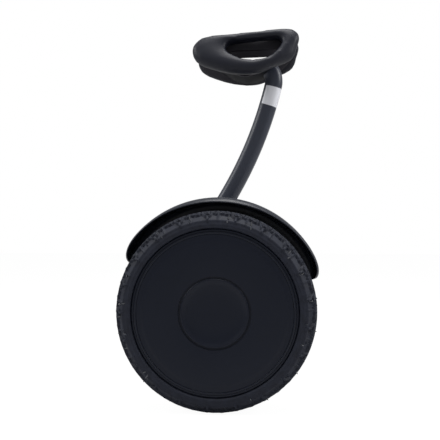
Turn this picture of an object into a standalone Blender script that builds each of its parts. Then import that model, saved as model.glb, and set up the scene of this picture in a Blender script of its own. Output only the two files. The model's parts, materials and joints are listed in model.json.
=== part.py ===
"""Self-balancing scooter: two hub-motor wheels, a low body with footwells and a knee-control bar.

The body is drawn in its own frame, whose origin is the middle of the axle line, and stands at rest
pitched a few degrees about that line. Plus X is the rear, plus Y the right-hand side, plus Z up.
Every length below is in millimetres and every angle in degrees; meshes are scaled to metres.
"""
import math

import bmesh
import bpy
import numpy as np
from mathutils import Matrix, Vector

MM = 0.001
GAP = 0.3

# Wheels
TYRE_RADIUS = 130.0
WHEEL_Y = 238.0
TYRE_SEGMENTS = 32
LUG_HEIGHT = 2.2
LUG_MARGIN = 1.6
RIM_SEAT_RADIUS = 82.9
COVER_RADIUS = 108.0
CAP_RADIUS = 45.8
BEARING_RADIUS = 14.0
SHAFT_RADIUS = 8.0
JOURNAL_RADIUS = 6.0
STATOR_RADIUS = 66.0
STATOR_TEETH = 12
MAGNETS = 20

# Body
REST_PITCH = 4.5
BODY_HALF_WIDTH = 193.0
BODY_END_LENGTH = 96.0
BODY_BOW = 8.0
FRAME_TOP = 8.0
FRAME_BOTTOM = -46.0
WEB_TOP = -8.0
WEB_BOTTOM = -12.0
DECK_Z = 18.0
DECK_THICKNESS = 3.0

# Hump and steering pivot
PIVOT_Z = 34.0
HUMP_RADIUS = 46.0
SHIELD_RADIUS = 41.6

# Steering bar
BAR_LEAN = 63.5
BAR_FOOT_X = -77.0
BAR_DEPTH = 25.4
BAR_WIDTH = 34.0
BAR_CORNER = 7.5
BAR_WALL = 2.0
BAR_START = 62.0
BAR_STRAIGHT = 137.8
BAR_ARC_RADIUS = 630.0
BAR_ARC_SWEEP = 17.5
BAR_TOP_RADIUS = 26.0
BAR_TOP_SWEEP = 50.0

# Knee pads
PAD_TILT = 18.0
PAD_Y = 58.0
PAD_OFFSET_X = -15.3
PAD_OFFSET_Z = 12.1
PAD_DEPTH = 25.0
PAD_PLATE = 3.5
SPIGOT_TOP = 136.0

# Mudguards
FENDER_RADIUS = 145.0
FENDER_RISE = 4.4
FENDER_ROOT_Y = 196.3
FENDER_DROP_AT_END = 10.0
FENDER_HALF_ANGLE = 70.0
FENDER_END_ANGLE = 18.0

# Finishes: sRGB colour, roughness, metallic
FINISHES = {
    "tyre rubber": ((0.07, 0.075, 0.09), 0.85, 0.0),
    "satin plastic": ((0.11, 0.12, 0.15), 0.45, 0.0),
    "black plastic": ((0.06, 0.06, 0.07), 0.55, 0.0),
    "soft foam": ((0.10, 0.11, 0.14), 0.6, 0.0),
    "rubber": ((0.08, 0.08, 0.09), 0.9, 0.0),
    "painted tube": ((0.09, 0.095, 0.115), 0.4, 0.0),
    "cast alloy": ((0.30, 0.31, 0.33), 0.5, 0.9),
    "steel": ((0.55, 0.56, 0.58), 0.35, 1.0),
    "copper": ((0.70, 0.42, 0.25), 0.45, 0.9),
    "magnet": ((0.38, 0.38, 0.40), 0.35, 0.9),
    "board": ((0.05, 0.25, 0.12), 0.5, 0.0),
    "cell wrap": ((0.16, 0.36, 0.56), 0.4, 0.0),
    "clear lens": ((0.80, 0.82, 0.85), 0.1, 0.0),
    "red lens": ((0.60, 0.04, 0.05), 0.15, 0.0),
}


def clear_scene():
    for obj in list(bpy.data.objects):
        bpy.data.objects.remove(obj, do_unlink=True)


def linear(channel):
    if channel <= 0.04045:
        return channel / 12.92
    return ((channel + 0.055) / 1.055) ** 2.4


def finish_material(name, finish):
    colour, roughness, metallic = FINISHES[finish]
    material = bpy.data.materials.new(name)
    material.use_nodes = True
    shader = material.node_tree.nodes["Principled BSDF"]
    shader.inputs["Base Color"].default_value = [linear(c) for c in colour] + [1.0]
    shader.inputs["Roughness"].default_value = roughness
    shader.inputs["Metallic"].default_value = metallic
    return material


# Frames

WORLD = {}


def add_frame(name, matrix):
    """Add an empty that carries pieces; matrix is its place in the world, in metres."""
    empty = bpy.data.objects.new(name, None)
    empty.empty_display_size = 0.05
    empty.matrix_world = matrix
    bpy.context.scene.collection.objects.link(empty)
    WORLD[name] = (empty, matrix)
    return empty


def shift(x, y, z):
    return Matrix.Translation(Vector((x, y, z)) * MM)


def turn(degrees, axis):
    return Matrix.Rotation(math.radians(degrees), 4, axis)


def bar_axis_point(distance):
    """A point on the straight lower axis of the bar, in the body frame."""
    lean = math.radians(BAR_LEAN)
    return Vector((BAR_FOOT_X + distance * math.cos(lean), 0.0, PIVOT_Z + distance * math.sin(lean)))


def bar_path():
    """Points and headings of the bar's centre line in the body's X-Z plane.

    A straight foot, a long arc that steepens it and a tight bend under the head.
    """
    lean = math.radians(BAR_LEAN)
    start = bar_axis_point(BAR_START)
    bend = bar_axis_point(BAR_STRAIGHT)
    path = [(start.x, start.z, lean), (bend.x, bend.z, lean)]

    def follow(radius, sweep, steps):
        x, z, heading = path[-1]
        centre_x = x - radius * math.sin(heading)
        centre_z = z + radius * math.cos(heading)
        for step in range(1, steps + 1):
            angle = heading + sweep * step / steps
            path.append((centre_x + radius * math.sin(angle), centre_z - radius * math.cos(angle), angle))

    follow(BAR_ARC_RADIUS, math.radians(BAR_ARC_SWEEP), 6)
    follow(BAR_TOP_RADIUS, math.radians(BAR_TOP_SWEEP), 6)
    return path


def make_frames():
    """The body, one frame on each joint's axis, and the frames that hold the pads."""
    body = shift(0.0, 0.0, TYRE_RADIUS) @ turn(REST_PITCH, "Y")
    add_frame("ground_frame", Matrix.Identity(4))
    add_frame("body_frame", body)
    add_frame("lean_axis", body @ shift(BAR_FOOT_X, 0.0, PIVOT_Z))
    add_frame("bar_axis", body @ shift(*bar_axis_point(0.0)) @ turn(90.0 - BAR_LEAN, "Y"))
    for side, sign in (("left", -1.0), ("right", 1.0)):
        facing = turn(180.0, "Z") if sign < 0 else Matrix.Identity(4)
        add_frame(f"wheel_axis_{side}", shift(0.0, sign * WHEEL_Y, TYRE_RADIUS) @ facing)
    x, z, heading = bar_path()[-1]
    bend_x = x - BAR_TOP_RADIUS * math.sin(heading)
    bend_z = z + BAR_TOP_RADIUS * math.cos(heading)
    head = body @ shift(bend_x, 0.0, bend_z) @ turn(-REST_PITCH, "Y") @ shift(0.0, 0.0, BAR_TOP_RADIUS)
    add_frame("bar_head", head)
    for side, sign in (("left", -1.0), ("right", 1.0)):
        place = head @ shift(PAD_OFFSET_X, sign * PAD_Y, PAD_OFFSET_Z) @ turn(sign * (PAD_TILT - 90.0), "X")
        add_frame(f"pad_frame_{side}", place)
    add_frame("clamp_axis", WORLD["bar_axis"][1] @ shift(CLAMP_PIVOT_X, CLAMP_PIVOT_Y, 0.0))
    add_frame("button_axis", body @ shift(0.0, BUTTON_Y, BUTTON_Z))
    add_frame("cap_axis", body @ shift(CAP_HINGE_X, CHARGE_Y, CAP_HINGE_Z))


# Mesh helpers: every one returns a bmesh drawn in millimetres

PLANES = {
    "XY": lambda a, b, h: (a, b, h),
    "XZ": lambda a, b, h: (a, h, b),
    "YZ": lambda a, b, h: (h, a, b),
}


def outward(bm):
    bmesh.ops.recalc_face_normals(bm, faces=bm.faces)
    return bm


def merged(*parts):
    """Put several closed shapes into one bmesh, as separate shells."""
    whole = bmesh.new()
    for part in parts:
        mesh = bpy.data.meshes.new("part")
        part.to_mesh(mesh)
        part.free()
        whole.from_mesh(mesh)
        bpy.data.meshes.remove(mesh)
    return whole


def moved(bm, matrix):
    bmesh.ops.transform(bm, matrix=matrix, verts=bm.verts)
    return bm


def slide(bm, x, y, z):
    bmesh.ops.translate(bm, vec=(x, y, z), verts=bm.verts)
    return bm


def prism(outline, low, high, plane="XY"):
    """Extrude a flat outline from one height to another, along the normal of its plane."""
    lift = PLANES[plane]
    bm = bmesh.new()
    base = bm.faces.new([bm.verts.new(lift(a, b, low)) for a, b in outline])
    grown = bmesh.ops.extrude_face_region(bm, geom=[base])
    tops = [item for item in grown["geom"] if isinstance(item, bmesh.types.BMVert)]
    bmesh.ops.translate(bm, verts=tops, vec=Vector(lift(0.0, 0.0, high - low)))
    return outward(bm)


def box(x0, x1, y0, y1, z0, z1):
    return prism([(x0, y0), (x1, y0), (x1, y1), (x0, y1)], z0, z1)


def disc(radius, low, high, sides, plane="XY", centre=(0.0, 0.0)):
    step = 2.0 * math.pi / sides
    outline = [(centre[0] + radius * math.cos(step * (i + 0.5)),
                centre[1] + radius * math.sin(step * (i + 0.5))) for i in range(sides)]
    return prism(outline, low, high, plane)


def rounded(corners, steps=3):
    """An outline whose corners, given as (x, y, radius), are replaced by arcs."""
    points = []
    count = len(corners)
    for i, (x, y, radius) in enumerate(corners):
        here = Vector((x, y))
        before = (Vector(corners[i - 1][:2]) - here).normalized()
        after = (Vector(corners[(i + 1) % count][:2]) - here).normalized()
        if radius <= 0.0:
            points.append((x, y))
            continue
        half = 0.5 * before.angle(after)
        centre = here + (before + after).normalized() * (radius / math.sin(half))
        first = here + before * (radius / math.tan(half)) - centre
        last = here + after * (radius / math.tan(half)) - centre
        sweep = first.angle_signed(last)
        for step in range(steps + 1):
            angle = -sweep * step / steps
            cos, sin = math.cos(angle), math.sin(angle)
            points.append((centre.x + first.x * cos - first.y * sin,
                           centre.y + first.x * sin + first.y * cos))
    return points


def rounded_box(x0, x1, y0, y1, radius, low, high, plane="XY", steps=3):
    corners = [(x0, y0, radius), (x1, y0, radius), (x1, y1, radius), (x0, y1, radius)]
    return prism(rounded(corners, steps), low, high, plane)


def turned(profile, steps, phase=0.0):
    """Spin a closed outline of (radius, position along Y) about the Y axis."""
    bm = bmesh.new()
    verts = [bm.verts.new((radius, along, 0.0)) for radius, along in profile]
    edges = []
    for i, vert in enumerate(verts):
        after = verts[(i + 1) % len(verts)]
        if vert.co.x > 0.0 or after.co.x > 0.0:
            edges.append(bm.edges.new((vert, after)))
    bmesh.ops.rotate(bm, verts=verts, cent=(0, 0, 0), matrix=Matrix.Rotation(phase, 3, "Y"))
    bmesh.ops.spin(bm, geom=verts + edges, cent=(0, 0, 0), axis=(0, 1, 0),
                   angle=2.0 * math.pi, steps=steps, use_merge=True)
    bmesh.ops.remove_doubles(bm, verts=bm.verts, dist=0.001)
    return outward(bm)


def grid_solid(rings, closed_ends=False):
    """Skin a row of equal closed rings; the row joins round on itself or its ends are filled."""
    bm = bmesh.new()
    rows = [[bm.verts.new(point) for point in ring] for ring in rings]
    count = len(rows[0])
    pairs = list(zip(rows[:-1], rows[1:])) if closed_ends else list(zip(rows, rows[1:] + rows[:1]))
    for ring, following in pairs:
        for i in range(count):
            j = (i + 1) % count
            bm.faces.new((ring[i], ring[j], following[j], following[i]))
    if closed_ends:
        bm.faces.new(rows[0][::-1])
        bm.faces.new(rows[-1])
    return outward(bm)


# Object helpers


def add(name, bm, finish, frame, carrier=None, smooth=32.0):
    """Make the named object from a bmesh drawn in one frame and carried by another."""
    bmesh.ops.scale(bm, vec=(MM, MM, MM), verts=bm.verts)
    mesh = bpy.data.meshes.new(name)
    bm.to_mesh(mesh)
    bm.free()
    if smooth:
        mesh.shade_smooth()
        mesh.set_sharp_from_angle(angle=math.radians(smooth))
    obj = bpy.data.objects.new(name, mesh)
    obj.data.materials.append(finish_material(name, finish))
    bpy.context.scene.collection.objects.link(obj)
    holder, place = WORLD[carrier or frame]
    obj.parent = holder
    obj.matrix_parent_inverse = place.inverted() @ WORLD[frame][1]
    return obj


def boolean(obj, bm, operation, frame):
    """Cut or fuse a helper shape, which stays in the scene as a wire guide."""
    count = len(obj.modifiers)
    tool = add(f"{obj.name}.tool.{count}", bm, "steel", frame, smooth=None)
    tool.display_type = "WIRE"
    tool.hide_render = True
    modifier = obj.modifiers.new(operation.lower(), "BOOLEAN")
    modifier.operation = operation
    modifier.solver = "EXACT"
    modifier.object = tool
    return obj


def cut(obj, bm, frame):
    return boolean(obj, bm, "DIFFERENCE", frame)


def fuse(obj, bm, frame):
    return boolean(obj, bm, "UNION", frame)


def keep_inside(obj, bm, frame):
    return boolean(obj, bm, "INTERSECT", frame)


# Wheels: drawn about the axle with plus Y pointing away from the body

TYRE_SIDE = [(8.0, 128.05), (24.5, 125.85), (32.3, 119.0), (35.0, 113.5), (33.8, 110.2), (27.6, 109.4),
             (26.6, 83.6), (18.0, 83.6), (25.5, 113.5)]
HUB_OUTLINE = [(89.0, -29.0), (89.0, -26.9), (RIM_SEAT_RADIUS, -26.9), (RIM_SEAT_RADIUS, 26.9),
               (89.0, 26.9), (89.0, 29.0), (78.0, 29.0), (75.0, 24.5), (14.3, 24.5), (14.3, 12.0),
               (20.0, 12.0), (20.0, 20.0), (73.0, 20.0), (73.0, -29.0)]
END_COVER_OUTLINE = [(82.0, -32.5), (82.0, -29.3), (72.0, -29.3), (72.0, -26.0), (20.0, -26.0),
                     (20.0, -16.0), (14.3, -16.0), (14.3, -28.3), (9.5, -28.3), (9.5, -32.5)]
COVER_OUTLINE = [(46.8, 33.0), (93.0, 33.6), (96.5, 32.5), (105.8, 32.2), (COVER_RADIUS, 30.6),
                 (COVER_RADIUS, 29.5), (40.0, 29.5), (40.0, 30.9), (46.8, 30.9)]
CAP_OUTLINE = [(0.0, 28.2), (26.0, 29.9), (43.5, 33.9), (CAP_RADIUS, 32.9), (CAP_RADIUS, 31.2),
               (39.3, 31.2), (0.0, 26.2)]
SHAFT_OUTLINE = [(0.0, -88.0), (SHAFT_RADIUS, -88.0), (SHAFT_RADIUS, -15.0), (11.0, -15.0), (11.0, 11.5),
                 (JOURNAL_RADIUS, 11.5), (JOURNAL_RADIUS, 23.5), (0.0, 23.5)]
LUG_ROWS = (-28.4, -16.25, 16.25, 28.4)


def tyre_mesh():
    """A hollow carcass with two staggered rows of lugs on each side of a plain centre rib."""
    half_step = math.pi / TYRE_SEGMENTS
    side = [(radius / math.cos(half_step), along) for along, radius in TYRE_SIDE]
    outline = side + [(radius, -along) for radius, along in reversed(side)]
    bm = turned(outline, TYRE_SEGMENTS, phase=half_step)
    lugs = []
    for face in bm.faces:
        centre = face.calc_center_median()
        if math.hypot(centre.x, centre.z) < 118.0 or face.normal.dot(Vector((centre.x, 0.0, centre.z))) < 0.0:
            continue
        for row, along in enumerate(LUG_ROWS):
            if abs(centre.y - along) < 1.0:
                station = round(math.atan2(centre.z, centre.x) / (2.0 * half_step))
                if (station + row) % 2 == 0:
                    lugs.append(face)
    bmesh.ops.inset_individual(bm, faces=lugs, thickness=LUG_MARGIN, depth=LUG_HEIGHT)
    return bm


def stator_mesh():
    """A laminated core with a ring of T-shaped teeth."""
    pitch = 2.0 * math.pi / STATOR_TEETH
    outline = []
    for tooth in range(STATOR_TEETH):
        for radius, share in ((46.0, -0.22), (61.0, -0.22), (STATOR_RADIUS, -0.42),
                              (STATOR_RADIUS, 0.42), (61.0, 0.22), (46.0, 0.22)):
            angle = pitch * (tooth + share)
            outline.append((radius * math.cos(angle), radius * math.sin(angle)))
    return prism(outline, -11.0, 8.0, "XZ")


def bearing(inner, low, high):
    return turned([(BEARING_RADIUS, low), (BEARING_RADIUS, high), (inner, high), (inner, low)], 12)


def make_wheel(side):
    axis = f"wheel_axis_{side}"

    def rotating(name, bm, finish):
        return add(f"{name}_{side}", bm, finish, axis)

    rotating("tyre", tyre_mesh(), "tyre rubber")
    hub = rotating("hub_shell", turned(HUB_OUTLINE, 26), "cast alloy")
    fuse(hub, disc(2.4, -34.5, -27.5, 8, "XZ", (85.8, 0.0)), axis)
    rotating("motor_end_cover", turned(END_COVER_OUTLINE, 26), "cast alloy")
    rotating("wheel_cover", turned(COVER_OUTLINE, 32), "satin plastic")
    rotating("centre_cap", turned(CAP_OUTLINE, 24), "satin plastic")
    magnets = [(68.1, -13.0), (71.9, -13.0), (71.9, 12.0), (68.1, 12.0)]
    rotating("magnet_ring", turned(magnets, MAGNETS), "magnet")
    rotating("inner_bearing", bearing(8.5, -28.0, -20.0), "steel")
    rotating("outer_bearing", bearing(6.5, 14.0, 22.0), "steel")
    add(f"axle_shaft_{side}", turned(SHAFT_OUTLINE, 12), "steel", axis, "body_frame")
    stator = add(f"stator_{side}", stator_mesh(), "copper", axis, "body_frame")
    cut(stator, disc(11.9, -20.0, 20.0, 12, "XZ"), axis)


# Body: drawn in the body frame

CLAMP_PIVOT_X = -24.5
CLAMP_PIVOT_Y = 16.0
BUTTON_Y = -60.0
BUTTON_Z = -18.0
CHARGE_Y = 60.0
CHARGE_Z = -19.0
CELL_Z = -34.8
CAP_HINGE_X = 107.0
CAP_HINGE_Z = -2.0
DISPLAY_X = 16.0
DISPLAY_CURVE = 55.0


def half_length(y):
    return BODY_END_LENGTH + BODY_BOW * (1.0 - (y / BODY_HALF_WIDTH) ** 2)


def plan_ring(scale_x, half_width, z):
    ys = np.linspace(-half_width, half_width, 9)
    front = [(-scale_x * half_length(y), y, z) for y in ys]
    rear = [(scale_x * half_length(y), y, z) for y in ys[::-1]]
    return front + rear


def both_sides(maker):
    """The merged meshes of a maker called for the left (-1) and the right (+1)."""
    return merged(maker(-1.0), maker(1.0))


def span(sign, near, far):
    """The lower and the higher end of a stretch that is mirrored by its sign."""
    return sorted((sign * near, sign * far))


def side_box(x0, x1, near, far, z0, z1):
    return both_sides(lambda sign: box(x0, x1, *span(sign, near, far), z0, z1))


def make_frame_casting():
    """A bowed tub with a bay below the web for the battery and one above it for the electronics."""
    rings = [plan_ring(scale, BODY_HALF_WIDTH, z)
             for z, scale in ((FRAME_BOTTOM, 0.93), (-40.0, 0.975), (-24.0, 1.0), (FRAME_TOP, 1.0))]
    frame = add("frame_casting", grid_solid(rings, closed_ends=True), "cast alloy", "body_frame")
    cut(frame, rounded_box(-80, 80, -146, 146, 8, -60, WEB_BOTTOM), "body_frame")
    cut(frame, rounded_box(-88, 88, -146, 146, 8, WEB_TOP, 20), "body_frame")
    cut(frame, box(-100.3, -86, -30, 30, WEB_TOP, 20), "body_frame")
    cut(frame, side_box(-8.4, 8.4, 140, 200, -8.4, 20), "body_frame")
    cut(frame, side_box(-30, 30, 150, 187, 2, 20), "body_frame")
    cut(frame, rounded_box(-43, 43, -32, -13, 6, -110, -89, "YZ"), "body_frame")
    cut(frame, side_rounded(104.0, 166.0, -26.0, -12.0, 92.7, 110.0), "body_frame")
    bezel = disc(13.4, 96, half_length(BUTTON_Y) + 1.6, 16, "YZ", (BUTTON_Y, BUTTON_Z))
    fuse(frame, bezel, "body_frame")
    cut(frame, merged(disc(10.5, 91, 110, 16, "YZ", (BUTTON_Y, BUTTON_Z)),
                      disc(9.3, 90, 110, 14, "YZ", (CHARGE_Y, CHARGE_Z))), "body_frame")
    lugs = [box(101, CAP_HINGE_X + 2.0, y - 1.2, y + 1.2, CAP_HINGE_Z - 2.0, CAP_HINGE_Z + 2.0)
            for y in (CHARGE_Y - 9.6, CHARGE_Y + 9.6)]
    fuse(frame, merged(*lugs), "body_frame")
    fuse(frame, disc(1.0, CHARGE_Y - 9.5, CHARGE_Y + 9.5, 8, "XZ", (CAP_HINGE_X, CAP_HINGE_Z)), "body_frame")


def side_rounded(near, far, z0, z1, x0, x1):
    """A rounded slot on each side of the body, running through a wall along X."""
    return both_sides(lambda sign: rounded_box(*span(sign, near, far), z0, z1, 5, x0, x1, "YZ"))


def hump_centre(x):
    """Height of the hump's axis: level over the pivot, round at the nose, running down to the rear."""
    nose, slope = -84.0, -30.0
    if x < nose:
        t = min((nose - x) / 20.0, 1.0)
        return PIVOT_Z - 50.0 * (1.0 - math.sqrt(1.0 - t * t))
    t = min(max((x - slope) / 118.0, 0.0), 1.0)
    return PIVOT_Z - 58.0 * t * t * (3.0 - 2.0 * t)


def cover_section(x):
    """Half of the top cover's section at x, from the hump's crest out to the side wall."""
    centre = hump_centre(x)
    foot = DECK_Z + 3.0
    end = math.asin(max((foot - centre) / HUMP_RADIUS, 0.0))
    points = []
    for i in range(6):
        angle = 0.5 * math.pi - (0.5 * math.pi - end) * i / 5.0
        points.append((HUMP_RADIUS * math.cos(angle), centre + HUMP_RADIUS * math.sin(angle)))
    width = points[-1][0]
    points += [(width + 1.2, DECK_Z + 1.2), (width + 5.0, DECK_Z)]
    points += [(125.0, DECK_Z), (188.5, DECK_Z), (BODY_HALF_WIDTH, DECK_Z - 3.5)]
    return points


def cover_row(x, drop, rim=None):
    half = [(y, z - drop * min(max((DECK_Z + 4.0 - z) / 4.0, 0.0), 1.0)) for y, z in cover_section(x)]
    half.append((BODY_HALF_WIDTH, FRAME_TOP + GAP))
    whole = [(-y, z) for y, z in reversed(half[1:])] + half
    scale = BODY_END_LENGTH + BODY_BOW
    return [(x * half_length(y) / scale, y, z if rim is None else rim) for y, z in whole]


def make_top_cover():
    """One shell: footwell decks, side walls, the hump and its slot for the steering post."""
    edge = BODY_END_LENGTH + BODY_BOW
    rows = [cover_row(-edge, 4.0, FRAME_TOP + GAP), cover_row(-edge, 4.0), cover_row(-edge + 2.5, 1.0)]
    rows += [cover_row(x, 0.0) for x in (-95.0, -84.0, -57.0, -30.0, -4.0, 24.0, 54.0, 84.0)]
    rows += [cover_row(edge - 2.5, 1.0), cover_row(edge, 4.0), cover_row(edge, 4.0, FRAME_TOP + GAP)]
    bm = bmesh.new()
    verts = [[bm.verts.new(point) for point in row] for row in rows]
    for row, following in zip(verts[:-1], verts[1:]):
        for i in range(len(row) - 1):
            bm.faces.new((row[i], following[i], following[i + 1], row[i + 1]))
    bmesh.ops.remove_doubles(bm, verts=bm.verts, dist=0.001)
    bm.normal_update()
    cover = add("top_cover", bm, "satin plastic", "body_frame")
    shell = cover.modifiers.new("wall", "SOLIDIFY")
    shell.thickness = DECK_THICKNESS * MM
    shell.offset = -1.0
    shell.use_even_offset = True
    shell.use_rim = True
    cut(cover, rounded_box(-79, -38.5, -24.5, 24.5, 8, 52, 100), "body_frame")
    cut(cover, both_sides(lambda sign: rounded_box(-60, 60, *span(sign, 70, 170), 8, 16.4, 30, "XY", 2)),
        "body_frame")
    cut(cover, moved(rounded_box(-14, 14, -17, 17, 6, -8, 8), display_place()), "body_frame")


def display_place():
    """Where the display lies on the hump's rear slope; its own Z stands square to the slope."""
    rise = hump_centre(DISPLAY_X + 1.0) - hump_centre(DISPLAY_X - 1.0)
    slope = Matrix.Rotation(-math.atan2(rise, 2.0), 4, "Y")
    return Matrix.Translation((DISPLAY_X, 0.0, hump_centre(DISPLAY_X) + HUMP_RADIUS)) @ slope


def make_display():
    half_angle = math.asin(17.5 / DISPLAY_CURVE)
    outline = []
    for radius, direction in ((DISPLAY_CURVE - 0.6, 1.0), (DISPLAY_CURVE - 2.8, -1.0)):
        for i in range(7):
            angle = direction * half_angle * (i - 3) / 3.0
            outline.append((radius * math.sin(angle), radius * math.cos(angle) - DISPLAY_CURVE))
    place = display_place()
    lens = add("display_window", moved(prism(outline, -16, 16, "YZ"), place), "clear lens", "body_frame")
    keep_inside(lens, moved(rounded_box(-13.7, 13.7, -16.7, 16.7, 5.7, -12, 8), place), "body_frame")


def make_foot_controls():
    """Ribbed rubber mats on the decks and the pressure switches under them."""
    for side, sign in (("left", -1.0), ("right", 1.0)):
        low, high = span(sign, 56.0, 187.0)
        mat = add(f"foot_mat_{side}", rounded_box(-84, 84, low, high, 12, DECK_Z + GAP, 21.0),
                  "rubber", "body_frame")
        ribs = [box(-76.0 + 18.0 * i, -68.0 + 18.0 * i, low + 7, high - 7, 20.0, 23.2) for i in range(9)]
        fuse(mat, merged(*ribs), "body_frame")
        low, high = span(sign, 70.3, 169.7)
        add(f"foot_sensor_{side}", rounded_box(-59.7, 59.7, low, high, 8, 16.7, 17.9, "XY", 2),
            "board", "body_frame")


def make_battery():
    """Round cells in one wrap with their board, their case, and the skid lid that closes the bay."""
    case = add("battery_case", rounded_box(-78, 78, -138, 138, 5, -45.9, -16), "black plastic", "body_frame")
    cut(case, box(-76, 76, -136, 136, -60, -18), "body_frame")
    pitch, radius = 18.9, 9.2
    top, bottom = [], []
    for column in range(8):
        for angle in (150.0, 110.0, 70.0, 30.0):
            x = pitch * (column - 3.5) + radius * math.cos(math.radians(angle))
            rise = radius * math.sin(math.radians(angle))
            top.append((x, CELL_Z + rise))
            bottom.append((x, CELL_Z - rise))
    pack = add("battery_pack", prism(bottom + top[::-1], -133, 133, "XZ"), "cell wrap", "body_frame")
    fuse(pack, box(-60, 60, -120, 120, -26.8, -24.8), "body_frame")
    lid = add("battery_lid", grid_solid([plan_ring(0.90, 186.0, -49.3),
                                         plan_ring(0.92, 188.0, FRAME_BOTTOM - GAP)], closed_ends=True),
              "cast alloy", "body_frame")
    skids = [prism([(low, -48.0), (high, -48.0), (high - 3.0, -56.0), (low + 3.0, -56.0)], -110, 110, "XZ")
             for low, high in ((-72.0, -57.0), (57.0, 72.0))]
    fuse(lid, merged(*skids), "body_frame")


def make_electronics():
    board = add("control_board", box(-20, 80, -108, 108, -4.0, -2.4), "board", "body_frame")
    blocks = [box(-10, 6, -60, -36, -3, 9), box(-10, 6, -24, 0, -3, 9), box(14, 26, -96, 96, -3, 3),
              box(36, 70, -30, 10, -3, 5), box(40, 66, 40, 90, -3, 2)]
    posts = [disc(3.0, WEB_TOP + GAP, -3.5, 6, "XY", (x, y)) for x in (-14, 74) for y in (-102, 102)]
    fuse(board, merged(*blocks, *posts), "body_frame")
    comb = [(112.0, WEB_TOP + GAP), (144.0, WEB_TOP + GAP)]
    for fin in range(6, 0, -1):
        left = 112.0 + 5.8 * (fin - 1)
        comb += [(left + 3.0, 6.0), (left, 6.0), (left, -4.0)]
        if fin > 1:
            comb.append((left - 2.8, -4.0))
    comb = [comb[0], comb[1]] + comb[2:-1]
    add("heat_sink", prism(comb, -16, 76, "YZ"), "cast alloy", "body_frame")


def make_axle_clamps():
    arch = [(-29.7, 2.3), (-8.8, 2.3), (-8.8, 4.0), (-6.4, 6.8), (0.0, 8.9), (6.4, 6.8), (8.8, 4.0), (8.8, 2.3),
            (29.7, 2.3), (29.7, 8.0), (20.0, 13.0), (-20.0, 13.0), (-29.7, 8.0)]
    for side, sign in (("left", -1.0), ("right", 1.0)):
        low, high = span(sign, 150.3, 186.7)
        add(f"axle_clamp_{side}", prism(arch, low, high, "XZ"), "cast alloy", "body_frame")


def fender_stations():
    """Angles from the vertical, with how far each one is into the rounded end: 0 none, 1 the tip."""
    shares = (0.0, 0.4, 0.72, 0.92, 1.0)
    start = FENDER_HALF_ANGLE - FENDER_END_ANGLE
    half = [(start * i / 4.0, 0.0) for i in range(4)]
    half += [(start + FENDER_END_ANGLE * share, share) for share in shares]
    return [(-angle, share) for angle, share in reversed(half[1:])] + half


FENDER_OUTLINE = [(193.3, -16.0), (193.3, -8.0), (197.0, -3.0), (204.0, -1.2), (229.0, -1.2), (233.5, 0.2),
                  (237.0, -0.6), (238.2, -3.0), (236.6, -5.3), (232.5, -5.8), (229.0, -4.3), (204.5, -4.3),
                  (199.0, -6.0), (196.3, -10.0), (196.3, -16.0)]


def make_fender(side, sign):
    """A hood over the inner half of the tyre with a rolled lip, and the side plate that carries it."""
    rings = []
    plate = []
    for angle, share in fender_stations():
        reach = max(math.sqrt(1.0 - share * share), 0.05)
        drop = FENDER_DROP_AT_END * share * share
        sin, cos = math.sin(math.radians(angle)), math.cos(math.radians(angle))
        ring = []
        for y, offset in FENDER_OUTLINE:
            radius = FENDER_RADIUS + offset - drop
            across = y if y <= FENDER_ROOT_Y else FENDER_ROOT_Y + (y - FENDER_ROOT_Y) * reach
            ring.append((radius * sin, sign * across, FENDER_RISE + radius * cos))
        rings.append(ring)
        inner = FENDER_RADIUS - 12.0 - drop
        plate.append((inner * sin, FENDER_RISE + inner * cos))
    fender = add(f"fender_{side}", grid_solid(rings, closed_ends=True), "satin plastic", "body_frame")
    plate += [(92.0, -22.0), (14.0, -22.0), (14.0, 0.0), (10.0, 10.0), (0.0, 14.0),
              (-10.0, 10.0), (-14.0, 0.0), (-14.0, -22.0), (-92.0, -22.0)]
    low, high = span(sign, 193.36, 196.24)
    fuse(fender, prism(plate, low, high, "XZ"), "body_frame")


def lens_outline(near, far, depth, bulge, sign_x):
    """A lens seen from above: a flat back and a front that follows the bowed wall."""
    ys = np.linspace(near, far, 5)
    crown = 1.0 - ((ys - ys.mean()) / (0.5 * (far - near))) ** 2
    front = [(sign_x * (half_length(y) + bulge * (0.4 + 0.6 * c)), y) for y, c in zip(ys, crown)]
    return [(sign_x * depth, near)] + front + [(sign_x * depth, far)]


def make_lights():
    lens = add("headlight_lens", prism(lens_outline(-42.6, 42.6, 96.0, 1.6, -1.0), -33.0, -12.0),
               "clear lens", "body_frame")
    keep_inside(lens, rounded_box(-42.6, 42.6, -31.6, -13.4, 5.6, -112, -90, "YZ"), "body_frame")
    board = add("headlight_board", box(-91.6, -90.0, -38, 38, -29, -16), "board", "body_frame")
    fuse(board, merged(*[disc(3.4, -94.2, -91.0, 8, "YZ", (y, -22.5)) for y in (-24, -8, 8, 24)]), "body_frame")
    outline = lens_outline(104.4, 165.6, 94.0, 1.4, 1.0)
    for side, sign in (("left", -1.0), ("right", 1.0)):
        shape = prism([(x, sign * y) for x, y in outline], -27.0, -11.0)
        lens = add(f"tail_light_{side}", shape, "red lens", "body_frame")
        low, high = span(sign, 104.4, 165.6)
        keep_inside(lens, rounded_box(low, high, -25.6, -12.4, 4.6, 90, 115, "YZ"), "body_frame")


def make_button():
    wall = half_length(BUTTON_Y)
    face = turned([(0.0, 94.0), (9.9, 94.0), (9.9, wall + 1.6), (8.6, wall + 2.6), (0.0, wall + 1.9)], 16)
    moved(face, Matrix.Rotation(math.radians(-90.0), 4, "Z"))
    add("power_button", slide(face, 0.0, BUTTON_Y, BUTTON_Z), "satin plastic", "body_frame", "button_axis")


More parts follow.
